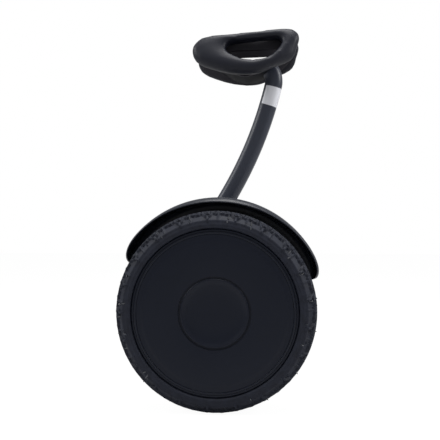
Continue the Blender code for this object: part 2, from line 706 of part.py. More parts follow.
def make_charge_port():
    wall = half_length(CHARGE_Y)
    outline = [(8.7, 91.0), (8.7, wall + 1.0), (7.2, wall + 1.0), (6.4, 95.0), (0.0, 95.0), (0.0, 91.0)]
    socket = turned(outline, 14)
    moved(socket, Matrix.Rotation(math.radians(-90.0), 4, "Z"))
    add("charge_socket", slide(socket, 0.0, CHARGE_Y, CHARGE_Z), "black plastic", "body_frame")
    outline = rounded([(-12.0, -12.0, 9.0), (12.0, -12.0, 9.0), (12.0, 11.8, 2.0), (8.0, 11.8, 0.0),
                       (8.0, 15.6, 0.0), (-8.0, 15.6, 0.0), (-8.0, 11.8, 0.0), (-12.0, 11.8, 2.0)])
    flap = prism(outline, 0.0, 2.6, "YZ")
    slide(flap, wall + 1.4, CHARGE_Y, CHARGE_Z)
    cap = add("charge_socket_cap", flap, "rubber", "body_frame", "cap_axis")
    barrel = disc(2.2, CHARGE_Y - 8.0, CHARGE_Y + 8.0, 8, "XZ", (CAP_HINGE_X, CAP_HINGE_Z))
    fuse(cap, barrel, "body_frame")
    cut(cap, disc(1.5, CHARGE_Y - 20.0, CHARGE_Y + 20.0, 8, "XZ", (CAP_HINGE_X, CAP_HINGE_Z)), "body_frame")


# Steering: the pivot in the body frame, the bar and its clamp along the bar's own axis


def x_bore(radius, x0, x1, sides=16):
    """A round shape on the lean axis."""
    return disc(radius, x0, x1, sides, "YZ", (0.0, PIVOT_Z))


def make_steering_base():
    """A plate on the web with two uprights for the pivot and two cheeks that hold the rubbers."""
    base = add("steering_base", box(-98.5, -48, -26, 26, WEB_TOP + GAP, -2), "cast alloy", "body_frame")
    upright = [(-17.0, -4.0), (-11.5, 22.0), (-11.5, PIVOT_Z)]
    for step in range(1, 6):
        angle = math.radians(180.0 - 30.0 * step)
        upright.append((11.5 * math.cos(angle), PIVOT_Z + 11.5 * math.sin(angle)))
    upright += [(11.5, PIVOT_Z), (11.5, 22.0), (17.0, -4.0)]
    fuse(base, merged(prism(upright, -98.4, -92.6, "YZ"), prism(upright, -55.4, -49.6, "YZ")), "body_frame")
    fuse(base, side_box(-91, -57, 17.3, 22, -4, 14), "body_frame")
    fuse(base, merged(x_bore(8.8, -98.2, -92.3), x_bore(8.8, -55.7, -48.9)), "body_frame")
    cut(base, x_bore(6.4, -110, -40), "body_frame")
    pin = turned([(0.0, -99.6), (6.0, -99.6), (6.0, -48.6), (9.0, -48.6), (9.0, -45.8), (0.0, -45.8)], 16)
    moved(pin, Matrix.Rotation(math.radians(-90.0), 4, "Z"))
    add("pivot_pin", slide(pin, 0.0, 0.0, PIVOT_Z), "steel", "body_frame")
    for side, sign in (("left", -1.0), ("right", 1.0)):
        low, high = span(sign, 5.3, 17.0)
        add(f"centring_rubber_{side}", box(-90.5, -57.5, low, high, 0.2, 13.8), "rubber", "body_frame")


def make_steering_post():
    """The rocking barrel, the neck that rises through the slot and the spigot inside the bar."""
    barrel = disc(13.0, -92.0, -56.0, 16, "YZ", (0.0, PIVOT_Z))
    post = add("steering_post", barrel, "cast alloy", "body_frame", "lean_axis")
    fuse(post, rounded_box(-12, 12, -13, 13, 4, 6.0, BAR_START - GAP), "bar_axis")
    fuse(post, rounded_box(-10.0, 10.0, -14.2, 14.2, 6, BAR_START - 4.0, SPIGOT_TOP), "bar_axis")
    fuse(post, box(-91.5, -56.5, -5, 5, 0, 24), "body_frame")
    cut(post, x_bore(6.4, -100, -40), "body_frame")


def make_dust_shield():
    """An arched shield that follows the post and keeps the slot in the hump closed."""
    outline = []
    for radius, direction in ((SHIELD_RADIUS, -1.0), (SHIELD_RADIUS - 2.6, 1.0)):
        for i in range(11):
            angle = direction * math.radians(52.0) * (i - 5) / 5.0
            outline.append((radius * math.sin(angle), PIVOT_Z + radius * math.cos(angle)))
    shield = add("dust_shield", prism(outline, -82.5, -34.0, "YZ"), "black plastic", "body_frame", "lean_axis")
    cut(shield, rounded_box(-12.5, 12.5, -13.5, 13.5, 4, 20, 70), "bar_axis")


def make_clamp():
    """A split collar round the bar's foot, its cross bolt and the cam lever that closes it."""
    low, high = BAR_START + 0.4, BAR_START + 30.0
    inner_x, inner_y = 0.5 * BAR_DEPTH + GAP, 0.5 * BAR_WIDTH + GAP
    outer = rounded_box(-inner_x - 4, inner_x + 4, -inner_y - 4, inner_y + 4, BAR_CORNER + 4.3, low, high)
    collar = add("clamp_collar", outer, "black plastic", "bar_axis")
    fuse(collar, rounded_box(-31, -14, -9.6, 9.6, 3, low + 3.0, high - 3.0), "bar_axis")
    cut(collar, rounded_box(-inner_x, inner_x, -inner_y, inner_y, BAR_CORNER + 0.3, 0, 120), "bar_axis")
    cut(collar, box(-40, -8, -1.5, 1.5, 0, 120), "bar_axis")
    middle = 0.5 * (low + high)
    cut(collar, disc(3.2, -20, 20, 12, "XZ", (CLAMP_PIVOT_X, middle)), "bar_axis")
    bolt = add("clamp_bolt", disc(2.8, -10.0, CLAMP_PIVOT_Y + 2.6, 12, "XZ", (CLAMP_PIVOT_X, middle)),
               "steel", "bar_axis")
    fuse(bolt, disc(5.2, -13.5, -9.9, 6, "XZ", (CLAMP_PIVOT_X, middle)), "bar_axis")
    fuse(bolt, disc(2.0, middle - 6.6, middle + 6.6, 8, "XY", (CLAMP_PIVOT_X, CLAMP_PIVOT_Y)), "bar_axis")
    outline = [(-4.5, 5.0), (-2.5, 11.0), (36.0, 11.0), (44.0, 13.5), (46.0, 10.5), (38.0, 6.2), (3.0, 6.2)]
    arm = prism(outline, middle - 6.0, middle + 6.0)
    slide(arm, CLAMP_PIVOT_X, CLAMP_PIVOT_Y, 0.0)
    lever = add("clamp_lever", arm, "black plastic", "bar_axis", "clamp_axis")
    fuse(lever, disc(6.0, middle - 7.0, middle + 7.0, 16, "XY", (CLAMP_PIVOT_X, CLAMP_PIVOT_Y)), "bar_axis")
    cut(lever, disc(6.9, middle - 3.2, middle + 3.2, 16, "XY", (CLAMP_PIVOT_X, CLAMP_PIVOT_Y)), "bar_axis")
    cut(lever, disc(2.4, middle - 20, middle + 20, 8, "XY", (CLAMP_PIVOT_X, CLAMP_PIVOT_Y)), "bar_axis")


def bar_rings(depth, width, corner, path):
    """Rounded-rectangle sections of the bar, one at each point of the path, in the body frame."""
    section = rounded([(-0.5 * depth, -0.5 * width, corner), (0.5 * depth, -0.5 * width, corner),
                       (0.5 * depth, 0.5 * width, corner), (-0.5 * depth, 0.5 * width, corner)], 2)
    rings = []
    for x, z, heading in path:
        across_x, across_z = math.sin(heading), -math.cos(heading)
        rings.append([(x + a * across_x, y, z + a * across_z) for a, y in section])
    return rings


def make_steering_bar():
    path = bar_path()
    outer = bar_rings(BAR_DEPTH, BAR_WIDTH, BAR_CORNER, path)
    inner = bar_rings(BAR_DEPTH - 2.0 * BAR_WALL, BAR_WIDTH - 2.0 * BAR_WALL, BAR_CORNER - BAR_WALL, path)
    add("steering_bar", grid_solid(outer + inner[::-1]), "painted tube", "body_frame", "bar_axis")


def make_pad_bracket():
    """The head: its plug fills the bar's end, and it carries a pad on each tilted side."""
    outline = [(7.7, -29.4), (7.7, -20.0), (10.3, -17.7), (30.8, -2.6), (28.7, 0.0), (25.1, 3.5), (20.2, 7.2),
               (-56.3, 7.2), (-56.3, -7.9), (-38.3, -19.9), (-18.3, -29.4)]
    bracket = add("pad_bracket", prism(outline, -50, 50, "XZ"), "satin plastic", "bar_head", "bar_axis")
    slope = math.tan(math.radians(PAD_TILT))
    low, shoulder = -40.0, 1.8
    sides = [(30.3 - slope * (low - 3.1), low), (30.3 - slope * (shoulder - 3.1), shoulder), (8.0, 7.2)]
    sides += [(-y, z) for y, z in reversed(sides)]
    keep_inside(bracket, prism(sides, -80, 50, "YZ"), "bar_head")
    cut(bracket, box(-38.0, 3.0, -23.0, 23.0, -45.0, -8.0), "bar_head")
    x, z, heading = bar_path()[-1]
    plug_path = bar_path()[-5:] + [(x + 5.0 * math.cos(heading), z + 5.0 * math.sin(heading), heading)]
    clearance = 2.0 * (BAR_WALL + GAP)
    plug = bar_rings(BAR_DEPTH - clearance, BAR_WIDTH - clearance, BAR_CORNER - 0.5 * clearance, plug_path)
    fuse(bracket, grid_solid(plug, closed_ends=True), "body_frame")


PAD_OUTLINE = [(-83, 8), (-79, 19.5), (-66, 28.5), (-30, 33.5), (20, 38.3), (62, 42.6), (78, 36.5), (81.5, 23),
               (67, -2), (44, -21), (14, -33), (-20, -32), (-51, -23.5), (-74.5, -9.5)]
PAD_HOLE = [(-31, 10), (-29, 16), (-24, 20.5), (-8, 22), (20, 24.5), (46, 26.5), (53, 23.5), (53.5, 15),
            (46, 3), (33, -8), (10, -15.5), (-6, -12), (-20, -5), (-28, 2.5)]
PLATE_HOLE = [(-28, 7), (-26, 9.5), (-21, 12), (-8, 13.3), (20, 15.8), (44, 18.6), (50, 17.5), (51.5, 13.5),
              (45, 4), (32, -6.8), (10, -14.2), (-6, -11), (-19, -4), (-26, 2.5)]


def through_points(points, per_span):
    """A smooth closed curve through the points."""
    knots = np.array(points, dtype=float)
    count = len(knots)
    curve = []
    for i in range(count):
        a, b, c, d = (knots[(i + k) % count] for k in (-1, 0, 1, 2))
        for t in np.arange(per_span) / per_span:
            curve.append(0.5 * (2.0 * b + (c - a) * t + (2.0 * a - 5.0 * b + 4.0 * c - d) * t ** 2
                                + (3.0 * b - a - 3.0 * c + d) * t ** 3))
    return np.array(curve)


def pad_rings(section, edge, sign, per_span):
    """Sweep a section, given for the local width, round the pad between its outline and the hole's edge."""
    outer = through_points(PAD_OUTLINE, per_span)
    hole = through_points(edge, per_span)
    rings = []
    for start, end in zip(outer, hole):
        width = float(np.linalg.norm(end - start))
        along = (end - start) / width
        ring = []
        for across, normal in section(width):
            a, b = start + across * along
            ring.append((a, -sign * b, normal))
        rings.append(ring)
    return rings


def cushion_section(width):
    radius = min(9.0, 0.42 * width)
    crown = min(0.05 * width, 2.0)
    return [(0.0, -2.0 - radius), (0.29 * radius, -2.0 - 0.29 * radius), (radius, -2.0),
            (0.5 * width, crown - 2.0), (width - radius, -2.0), (width - 0.29 * radius, -2.0 - 0.29 * radius),
            (width, -2.0 - radius), (width - 1.5, -22.0), (width - 4.0, -PAD_DEPTH), (4.0, -PAD_DEPTH),
            (1.5, -22.0)]


def plate_section(width):
    top = -PAD_DEPTH - GAP
    return [(4.5, top), (width, top), (width, top - PAD_PLATE), (4.5, top - PAD_PLATE)]


def make_pads():
    for side, sign in (("left", -1.0), ("right", 1.0)):
        place = f"pad_frame_{side}"
        cushion = grid_solid(pad_rings(cushion_section, PAD_HOLE, sign, 3))
        add(f"knee_pad_{side}", cushion, "soft foam", place, "bar_axis", 50.0)
        plate = grid_solid(pad_rings(plate_section, PLATE_HOLE, sign, 2))
        plate = add(f"pad_plate_{side}", plate, "black plastic", place, "bar_axis")
        tab = [(-24, -18), (26, -18), (23, -25), (1, -33), (-5, -33), (-20, -27)]
        top = -PAD_DEPTH - GAP
        fuse(plate, prism([(a, -sign * b) for a, b in tab], top - PAD_PLATE + 0.1, top - 0.1), place)


def main():
    clear_scene()
    make_frames()
    for side in ("left", "right"):
        make_wheel(side)
    make_frame_casting()
    make_top_cover()
    make_display()
    make_foot_controls()
    make_battery()
    make_electronics()
    make_axle_clamps()
    make_fender("left", -1.0)
    make_fender("right", 1.0)
    make_lights()
    make_button()
    make_charge_port()
    make_steering_base()
    make_steering_post()
    make_dust_shield()
    make_clamp()
    make_steering_bar()
    make_pad_bracket()
    make_pads()


main()
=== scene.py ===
import json
import math

import bmesh
import bpy
import numpy as np
from mathutils import Matrix, Vector

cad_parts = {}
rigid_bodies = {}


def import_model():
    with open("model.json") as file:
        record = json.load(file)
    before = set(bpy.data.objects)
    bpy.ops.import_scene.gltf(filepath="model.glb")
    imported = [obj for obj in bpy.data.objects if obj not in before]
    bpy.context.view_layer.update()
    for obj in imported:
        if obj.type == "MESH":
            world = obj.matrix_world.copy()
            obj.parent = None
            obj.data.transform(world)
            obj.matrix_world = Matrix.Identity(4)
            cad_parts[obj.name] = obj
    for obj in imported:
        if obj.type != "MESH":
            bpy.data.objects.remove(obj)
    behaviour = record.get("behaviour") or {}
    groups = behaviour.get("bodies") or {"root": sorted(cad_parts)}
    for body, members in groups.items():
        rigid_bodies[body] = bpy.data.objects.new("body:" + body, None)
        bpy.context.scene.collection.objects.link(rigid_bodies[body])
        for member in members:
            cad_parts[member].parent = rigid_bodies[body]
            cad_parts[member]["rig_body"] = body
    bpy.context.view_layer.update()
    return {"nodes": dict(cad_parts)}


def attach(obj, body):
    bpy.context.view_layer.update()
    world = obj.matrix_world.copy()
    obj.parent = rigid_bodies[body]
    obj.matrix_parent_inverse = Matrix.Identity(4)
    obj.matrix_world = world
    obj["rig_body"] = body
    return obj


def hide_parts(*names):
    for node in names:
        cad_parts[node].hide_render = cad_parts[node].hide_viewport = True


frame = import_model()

NODES = frame["nodes"]
SIDES = (("left", -1.0), ("right", 1.0))
QUARTER = 0.5 * math.pi
MM = 0.001
SHARP = 35.0

# Frames, in millimetres: the body pitched about the axle line, the wheels, the bar's head and pads

AXLE_Z, WHEEL_Y, REST_PITCH = 130.0, 238.0, 4.5
PIVOT_X, PIVOT_Z, BAR_LEAN = -77.0, 34.0, 63.5
FOOT_START, FOOT_END = 62.0, 137.8
ARC_RADIUS, ARC_TURN = 630.0, 17.5
BEND_RADIUS, BEND_TURN = 26.0, 50.0
PAD_X, PAD_Y, PAD_Z, PAD_TILT = -15.3, 58.0, 12.1, 18.0


def shifted(x, y, z):
    return Matrix.Translation((x, y, z))


def turned(degrees, axis):
    return Matrix.Rotation(math.radians(degrees), 4, axis)


def held(share):
    """The share held between 0 and 1."""
    return np.clip(share, 0.0, 1.0)


def summed(steps):
    """Running sum of the steps, from 0."""
    return np.hstack([0.0, np.cumsum(steps)])


def bar_line(spacing=2.0):
    """Centre line of the bar in the body's X-Z plane, as rows of x, z, heading and run.

    A straight foot, a long arc and a tight bend: the heading is linear in the run along each
    stretch, and x and z are the sums of its cosine and its sine.
    """
    lean = math.radians(BAR_LEAN)
    steep = lean + math.radians(ARC_TURN)
    top = steep + math.radians(BEND_TURN)
    lengths = np.array([FOOT_END - FOOT_START, ARC_RADIUS * (steep - lean), BEND_RADIUS * (top - steep)])
    ends = summed(lengths)
    run = np.unique(np.hstack([np.arange(0.0, ends[-1], spacing), ends]))
    heading = np.interp(run, ends, [lean, lean, steep, top])
    middle = 0.5 * (heading[1:] + heading[:-1])
    step = np.diff(run)
    x = PIVOT_X + FOOT_START * math.cos(lean) + summed(step * np.cos(middle))
    z = PIVOT_Z + FOOT_START * math.sin(lean) + summed(step * np.sin(middle))
    return np.stack([x, z, heading, run], 1)


BODY = shifted(0.0, 0.0, AXLE_Z) @ turned(REST_PITCH, "Y")
WHEEL = {-1.0: shifted(0.0, -WHEEL_Y, AXLE_Z) @ turned(180.0, "Z"), 1.0: shifted(0.0, WHEEL_Y, AXLE_Z)}
LINE = bar_line()
BEND_X = LINE[-1, 0] - BEND_RADIUS * math.sin(LINE[-1, 2])
BEND_Z = LINE[-1, 1] + BEND_RADIUS * math.cos(LINE[-1, 2])
HEAD = BODY @ shifted(BEND_X, 0.0, BEND_Z) @ turned(-REST_PITCH, "Y") @ shifted(0.0, 0.0, BEND_RADIUS)
PAD = {sign: HEAD @ shifted(PAD_X, sign * PAD_Y, PAD_Z) @ turned(sign * (PAD_TILT - 90.0), "X")
       for side, sign in SIDES}

# Surfaces: every shape is a grid of points in millimetres in one of the frames


def soften(corners, reach, steps=4, closed=True):
    """Outline with each corner replaced by a quadratic curve.

    The curve leaves an edge at the given reach from the corner, or at 45 % of the shorter edge,
    and is (1-t)^2 a + 2 t (1-t) corner + t^2 b for t from 0 to 1. An open outline keeps its ends.
    """
    corner = np.array(corners, float)
    reach = np.broadcast_to(np.asarray(reach, float), (len(corner),)).copy()
    back, ahead = np.roll(corner, 1, 0) - corner, np.roll(corner, -1, 0) - corner
    long_back, long_ahead = np.linalg.norm(back, axis=1), np.linalg.norm(ahead, axis=1)
    if not closed:
        reach[[0, -1]] = 0.0
    reach = np.minimum(reach, 0.45 * np.minimum(long_back, long_ahead))[:, None]
    t = np.linspace(0.0, 1.0, steps + 1)[None, :, None]
    a = (corner + back / np.maximum(long_back, 1e-9)[:, None] * reach)[:, None]
    b = (corner + ahead / np.maximum(long_ahead, 1e-9)[:, None] * reach)[:, None]
    curve = (1 - t) ** 2 * a + 2 * t * (1 - t) * corner[:, None] + t ** 2 * b
    curve = curve.reshape(-1, corner.shape[1])
    apart = np.linalg.norm(curve - np.roll(curve, 1, 0), axis=1) > 1e-6
    apart[0] = True
    return curve[apart]


def round_rectangle(width, depth, corner, steps=8):
    """Closed outline of a rectangle with arcs at its corners: centre plus corner (cos, sin)."""
    angle = np.linspace(0.0, QUARTER, steps + 1)
    quarter = np.arange(4)[:, None] * QUARTER + angle[None, :]
    sign = np.array([[1, 1], [-1, 1], [-1, -1], [1, -1]], float)[:, None, :]
    centre = sign * np.array([0.5 * width - corner, 0.5 * depth - corner])
    return (centre + corner * np.stack([np.cos(quarter), np.sin(quarter)], -1)).reshape(-1, 2)


def inset(outline, distance):
    """The outline moved inwards: each point goes along the mean of its two edge normals, mitred.

    The sign of the enclosed area says which side is inside.
    """
    ahead = np.roll(outline, -1, 0)
    area = 0.5 * np.sum(outline[:, 0] * ahead[:, 1] - ahead[:, 0] * outline[:, 1])
    edge = ahead - outline
    edge /= np.maximum(np.linalg.norm(edge, axis=1), 1e-9)[:, None]
    normal = np.stack([-edge[:, 1], edge[:, 0]], 1) * math.copysign(1.0, area)
    mean = normal + np.roll(normal, 1, 0)
    mean /= np.maximum(np.sum(mean ** 2, axis=1), 0.5)[:, None] * 0.5
    return outline + distance * mean


def run_along(points):
    """Length of the path up to each of its points: the sum of its steps."""
    return summed(np.linalg.norm(np.diff(points, axis=0), axis=1))


def at_runs(points, run, spots):
    """Points of a flat path at the given runs, linear between its own."""
    return np.stack([np.interp(spots, run, points[:, k]) for k in (0, 1)], 1)


def along(points, plane, height):
    """Outline points lifted off their plane: the coordinate across it is the height."""
    h = np.full(len(points), float(height))
    a, b = points[:, 0], points[:, 1]
    return np.stack({"XY": (a, b, h), "XZ": (a, h, b)}[plane], 1)


def sheet_of(points, ring_rows=False, ring_columns=True):
    """Points and quads of a grid; a ring joins its last row or column to its first."""
    rows, columns = points.shape[:2]
    a, b = np.meshgrid(np.arange(rows if ring_rows else rows - 1),
                       np.arange(columns if ring_columns else columns - 1), indexing="ij")
    c, d = (a + 1) % rows, (b + 1) % columns
    quads = np.stack([a * columns + b, a * columns + d, c * columns + d, c * columns + b], -1)
    return points.reshape(-1, 3), quads.reshape(-1, 4).tolist()


def loft(rings):
    """Closed shell through a row of closed rings, whose first and last are filled."""
    rings = np.asarray(rings, float)
    points, faces = sheet_of(rings)
    count, columns = len(points), rings.shape[1]
    faces.append(list(range(columns))[::-1])
    faces.append(list(range(count - columns, count)))
    return points, faces


def slab(outline, low, high, edge=0.8, plane="XY", steps=3):
    """Plate with rounded edges: the outline is drawn in by edge (1 - sin t) near both faces."""
    outline = np.asarray(outline, float)
    t = np.linspace(0.0, QUARTER, steps + 1)
    draw = edge * (1 - np.sin(t))
    rise = edge * (1 - np.cos(t))
    levels = [along(inset(outline, d), plane, low + r) for d, r in zip(draw, rise)]
    levels += [along(inset(outline, d), plane, high - r) for d, r in zip(draw[::-1], rise[::-1])]
    return loft(levels)


def spun(profile, turns):
    """Closed outline of (radius, position along Y) carried round Y: (r cos, y, r sin)."""
    angle = 2.0 * math.pi * np.arange(turns) / turns
    r, y = np.asarray(profile, float).T
    return sheet_of(np.stack([r * np.cos(angle)[:, None], np.broadcast_to(y, (turns, len(y))),
                              r * np.sin(angle)[:, None]], -1), ring_rows=True)


def carried(points, matrix):
    """Points carried from a frame into the one round it: turned, then shifted."""
    turn = np.array(matrix)
    return points @ turn[:3, :3].T + turn[:3, 3]


def moved_to(shell, matrix):
    """The shell with its points carried into another frame."""
    return carried(shell[0], matrix), shell[1]


# Meshes and objects


def placed(name, data):
    """New object in the scene with the given mesh, lamp or camera."""
    obj = bpy.data.objects.new(name, data)
    bpy.context.scene.collection.objects.link(obj)
    return obj


def points_of(mesh):
    """The mesh's points as an array of rows."""
    flat = np.empty(3 * len(mesh.vertices))
    mesh.vertices.foreach_get("co", flat)
    return flat.reshape(-1, 3)


def welded(mesh, join_flat=False, outwards=True):
    """The mesh with its doubles welded, its flat faces joined and its faces turned outwards."""
    bm = bmesh.new()
    bm.from_mesh(mesh)
    bmesh.ops.remove_doubles(bm, verts=bm.verts, dist=1e-6)
    if join_flat:
        bmesh.ops.dissolve_limit(bm, angle_limit=math.radians(1.0), verts=bm.verts, edges=bm.edges)
    if outwards:
        bmesh.ops.recalc_face_normals(bm, faces=bm.faces)
    bm.to_mesh(mesh)
    bm.free()
    return mesh


def mesh_of(name, shells, matrix, outwards=True):
    """Mesh of shells that are given in one frame."""
    points, faces, first = [], [], 0
    for shell_points, shell_faces in shells:
        points.append(shell_points)
        faces += [[corner + first for corner in face] for face in shell_faces]
        first += len(shell_points)
    mesh = bpy.data.meshes.new(name)
    mesh.from_pydata(carried(np.vstack(points), matrix) * MM, [], faces)
    return welded(mesh, outwards=outwards)


def shown(mesh, name, material, body, stands_for, sharp):
    """Object of a mesh, smooth up to the sharp angle, that rides on a body."""
    mesh.shade_smooth()
    mesh.set_sharp_from_angle(angle=math.radians(sharp))
    mesh.materials.append(material)
    obj = placed(name, mesh)
    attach(obj, body)
    if stands_for:
        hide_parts(*stands_for)
    return obj


def piece(name, shells, matrix, material, body, stands_for=(), sharp=SHARP):
    """Object of shells that are given in one frame."""
    return shown(mesh_of(name, shells, matrix), name, material, body, stands_for, sharp)


def eased(name, node, width, material):
    """A fuller copy of a plain solid: flat faces are joined, and edges are rounded by the width."""
    source = NODES[node]
    mesh = source.data.copy()
    mesh.name = name
    mesh.materials.clear()
    obj = shown(welded(mesh, join_flat=True), name, material, source["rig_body"], (node,), SHARP)
    edges = obj.modifiers.new("edges", "BEVEL")
    edges.width = width * MM
    edges.segments = 2
    edges.limit_method = "ANGLE"
    edges.angle_limit = math.radians(32.0)
    edges.harden_normals = True


def settle(obj):
    """Put the mesh that the modifiers give in place of the object's own."""
    deps = bpy.context.evaluated_depsgraph_get()
    made = bpy.data.meshes.new_from_object(obj.evaluated_get(deps))
    obj.modifiers.clear()
    obj.data = made


# Finishes


def colour(code):
    """Linear colour of an sRGB hex code: x / 12.92 up to 0.04045, ((x + 0.055) / 1.055)^2.4 above."""
    share = np.array([int(code[i:i + 2], 16) for i in (1, 3, 5)]) / 255.0
    low = share <= 0.04045
    return (*np.where(low, share / 12.92, ((share + 0.055) / 1.055) ** 2.4), 1.0)


def add_node(tree, kind, settings, links=()):
    """Add a node; settings are its properties or socket values, links its sockets and outputs."""
    made = tree.nodes.new("ShaderNode" + kind)
    for name, value in settings.items():
        if isinstance(name, int) or name in made.inputs:
            made.inputs[name].default_value = value
        else:
            setattr(made, name, value)
    for name, output in dict(links).items():
        tree.links.new(output, made.inputs[name])
    return made


def finish(name, dark, light, rough, grain, relief, patch=25.0, spread=0.06, shine=0.5, **sockets):
    """A finish with a fine relief, its grain and depth in mm, over patches of tone and gloss."""
    material = bpy.data.materials.new(name)
    material.use_nodes = True
    tree = material.node_tree
    shader = tree.nodes["Principled BSDF"]
    place = add_node(tree, "TexCoord", {}).outputs["Object"]
    slow = add_node(tree, "TexNoise", {"Scale": 1000.0 / patch, "Detail": 4.0}, {"Vector": place})
    fine = add_node(tree, "TexNoise", {"Scale": 1000.0 / grain, "Detail": 2.0}, {"Vector": place})
    tone = add_node(tree, "Mix", {"data_type": "RGBA", 6: colour(dark), 7: colour(light)},
                    {0: slow.outputs["Fac"]})
    gloss = add_node(tree, "MapRange", {"To Min": rough - spread, "To Max": rough + spread},
                     {"Value": slow.outputs["Fac"]})
    bump = add_node(tree, "Bump", {"Distance": relief * MM, "Strength": 1.0},
                    {"Height": fine.outputs["Fac"]})
    tree.links.new(tone.outputs[2], shader.inputs["Base Color"])
    tree.links.new(gloss.outputs["Result"], shader.inputs["Roughness"])
    tree.links.new(bump.outputs["Normal"], shader.inputs["Normal"])
    for socket, value in {"Specular_IOR_Level": shine, **sockets}.items():
        shader.inputs[socket.replace("_", " ")].default_value = value
    return material


# Carbon-black rubber, moulded: matt, with patches of grey bloom and a coarse mould skin
TYRE_RUBBER = finish("carbon_black_rubber_moulded", "#12141d", "#292d3a", 0.62, 0.9, 0.06,
                     patch=9.0, shine=0.22)
# The same rubber in smooth hairs, which catch the light: glossy, and a little lighter than the tyre as
# painted highlight
HAIR_RUBBER = finish("carbon_black_rubber_smooth_painted_glint", "#1f222b", "#30343f", 0.28, 0.9, 0.01,
                     patch=4.0, shine=1.0)
# Nitrile rubber with a fine stipple, moulded: matt black underfoot
MAT_RUBBER = finish("nitrile_rubber_stippled", "#15161a", "#202228", 0.7, 0.7, 0.06, patch=20.0, shine=0.3)
# ABS, spark-eroded mould: satin blue-black, its stipple drawn at 0.6 mm so that it shows
SATIN_ABS = finish("abs_satin_moulded", "#141822", "#191d28", 0.4, 0.6, 0.012,
                   patch=60.0, spread=0.03, shine=0.32)
# ABS with a finer mould skin: the smooth wheel covers, dark and even
COVER_ABS = finish("abs_smooth_moulded", "#121723", "#161a27", 0.36, 0.5, 0.006,
                   patch=70.0, spread=0.03, shine=0.18)
# The same ABS polished: a thin line of light on the bead round the wheel's disc
GLOSSY_ABS = finish("abs_polished", "#121723", "#161a27", 0.2, 0.5, 0.003,
                    patch=70.0, spread=0.03, shine=0.2)
# Glass-filled nylon, moulded: matt, slightly mottled by its fibres
NYLON = finish("glass_filled_nylon", "#111218", "#191b22", 0.55, 0.8, 0.02, patch=12.0, shine=0.25)
# The same nylon with a duller face and a darker colour, painted shade for the keel between the pads
KEEL_NYLON_SHADE = finish("glass_filled_nylon_dull_painted_shade", "#0f1015", "#15161c", 0.72, 0.8, 0.02, patch=12.0, shine=0.1)
# Polypropylene, moulded: a dull dark grey, lighter than the nylon, behind the foam
BACKING = finish("polypropylene_moulded_grey", "#232227", "#2d2c33", 0.6, 0.9, 0.02, patch=16.0, shine=0.3)
# Polyurethane foam with an integral skin: soft sheen over a leathery grain drawn at 1.4 mm
PAD_SKIN = finish("polyurethane_integral_skin", "#161821", "#1b1d27", 0.46, 1.4, 0.016,
                  patch=35.0, spread=0.05, shine=0.25)
# Aluminium tube under powder paint: satin dark grey with a faint orange-peel ripple of 2 mm
BAR_PAINT = finish("powder_paint_on_aluminium", "#30343f", "#353945", 0.36, 2.0, 0.02,
                   patch=40.0, spread=0.04, shine=0.35)
# Magnesium casting under dark paint: slight sand texture of the mould
FRAME_PAINT = finish("painted_magnesium_casting", "#181b23", "#1f222b", 0.5, 1.1, 0.04,
                     patch=30.0, shine=0.28)
# Aluminium, die cast and bead blasted: a soft, even grey metal
CAST_ALLOY = finish("aluminium_die_cast", "#85878b", "#a0a2a6", 0.42, 0.8, 0.02, patch=18.0, Metallic=1.0)
# Aluminium casting under black paint: satin black with a slight cast skin
HUB_PAINT = finish("black_painted_hub_casting", "#131418", "#1d1f24", 0.45, 1.0, 0.02, patch=25.0)
# Steel, ground and zinc plated: bright, with crisp reflections
STEEL = finish("zinc_plated_steel", "#a9abaf", "#c3c5c9", 0.28, 0.5, 0.004, patch=8.0, Metallic=1.0)
# Enamelled copper wire, wound: a warm brown gleam over its turns
COPPER = finish("enamelled_copper_winding", "#8a4320", "#a65a2c", 0.35, 1.2, 0.15, patch=6.0, Metallic=0.9)
# Magnets, sintered and nickel plated: a warm, mirror-bright grey
NICKEL = finish("nickel_plated_magnet", "#8e8c88", "#a8a6a1", 0.22, 0.6, 0.003, patch=12.0, Metallic=1.0)
# Glass-epoxy laminate under solder mask: glossy green with a faint weave
LAMINATE = finish("glass_epoxy_laminate", "#0b3a22", "#115030", 0.35, 1.0, 0.03, patch=5.0)
# PVC sleeve, heat shrunk: glossy blue, drawn into slight ripples
SLEEVE = finish("pvc_heat_shrink_sleeve", "#1c4a78", "#255a8e", 0.3, 2.0, 0.04, patch=15.0)
# Polyester film, white and left blank: satin and even
LABEL_FILM = finish("polyester_film_blank", "#e2e3ea", "#e9eaf0", 0.42, 1.0, 0.003, patch=9.0, spread=0.03)
# Polycarbonate, clear and polished: glassy, and what lies behind shows through
CLEAR_LENS = finish("polycarbonate_clear", "#e8ecf0", "#f2f4f6", 0.06, 3.0, 0.0003,
                    spread=0.01, Transmission_Weight=0.85, IOR=1.58)
# Polycarbonate, smoked nearly black: a glossy dark window over the display
SMOKED_LENS = finish("polycarbonate_smoked", "#050608", "#090a0d", 0.1, 3.0, 0.002, spread=0.02, IOR=1.58)
# Polycarbonate, moulded red: deep and glossy over its flutes
RED_LENS = finish("polycarbonate_red", "#7c0a0c", "#96100f", 0.14, 2.2, 0.004,
                  spread=0.03, Transmission_Weight=0.35, IOR=1.58)
# Polycarbonate, vacuum metallised: the dull bright trough behind the headlight's lens
METALLISED = finish("vacuum_metallised_polycarbonate", "#85878c", "#96989e", 0.32, 1.5, 0.001,
                    patch=10.0, spread=0.03, Metallic=1.0)

# Wheels

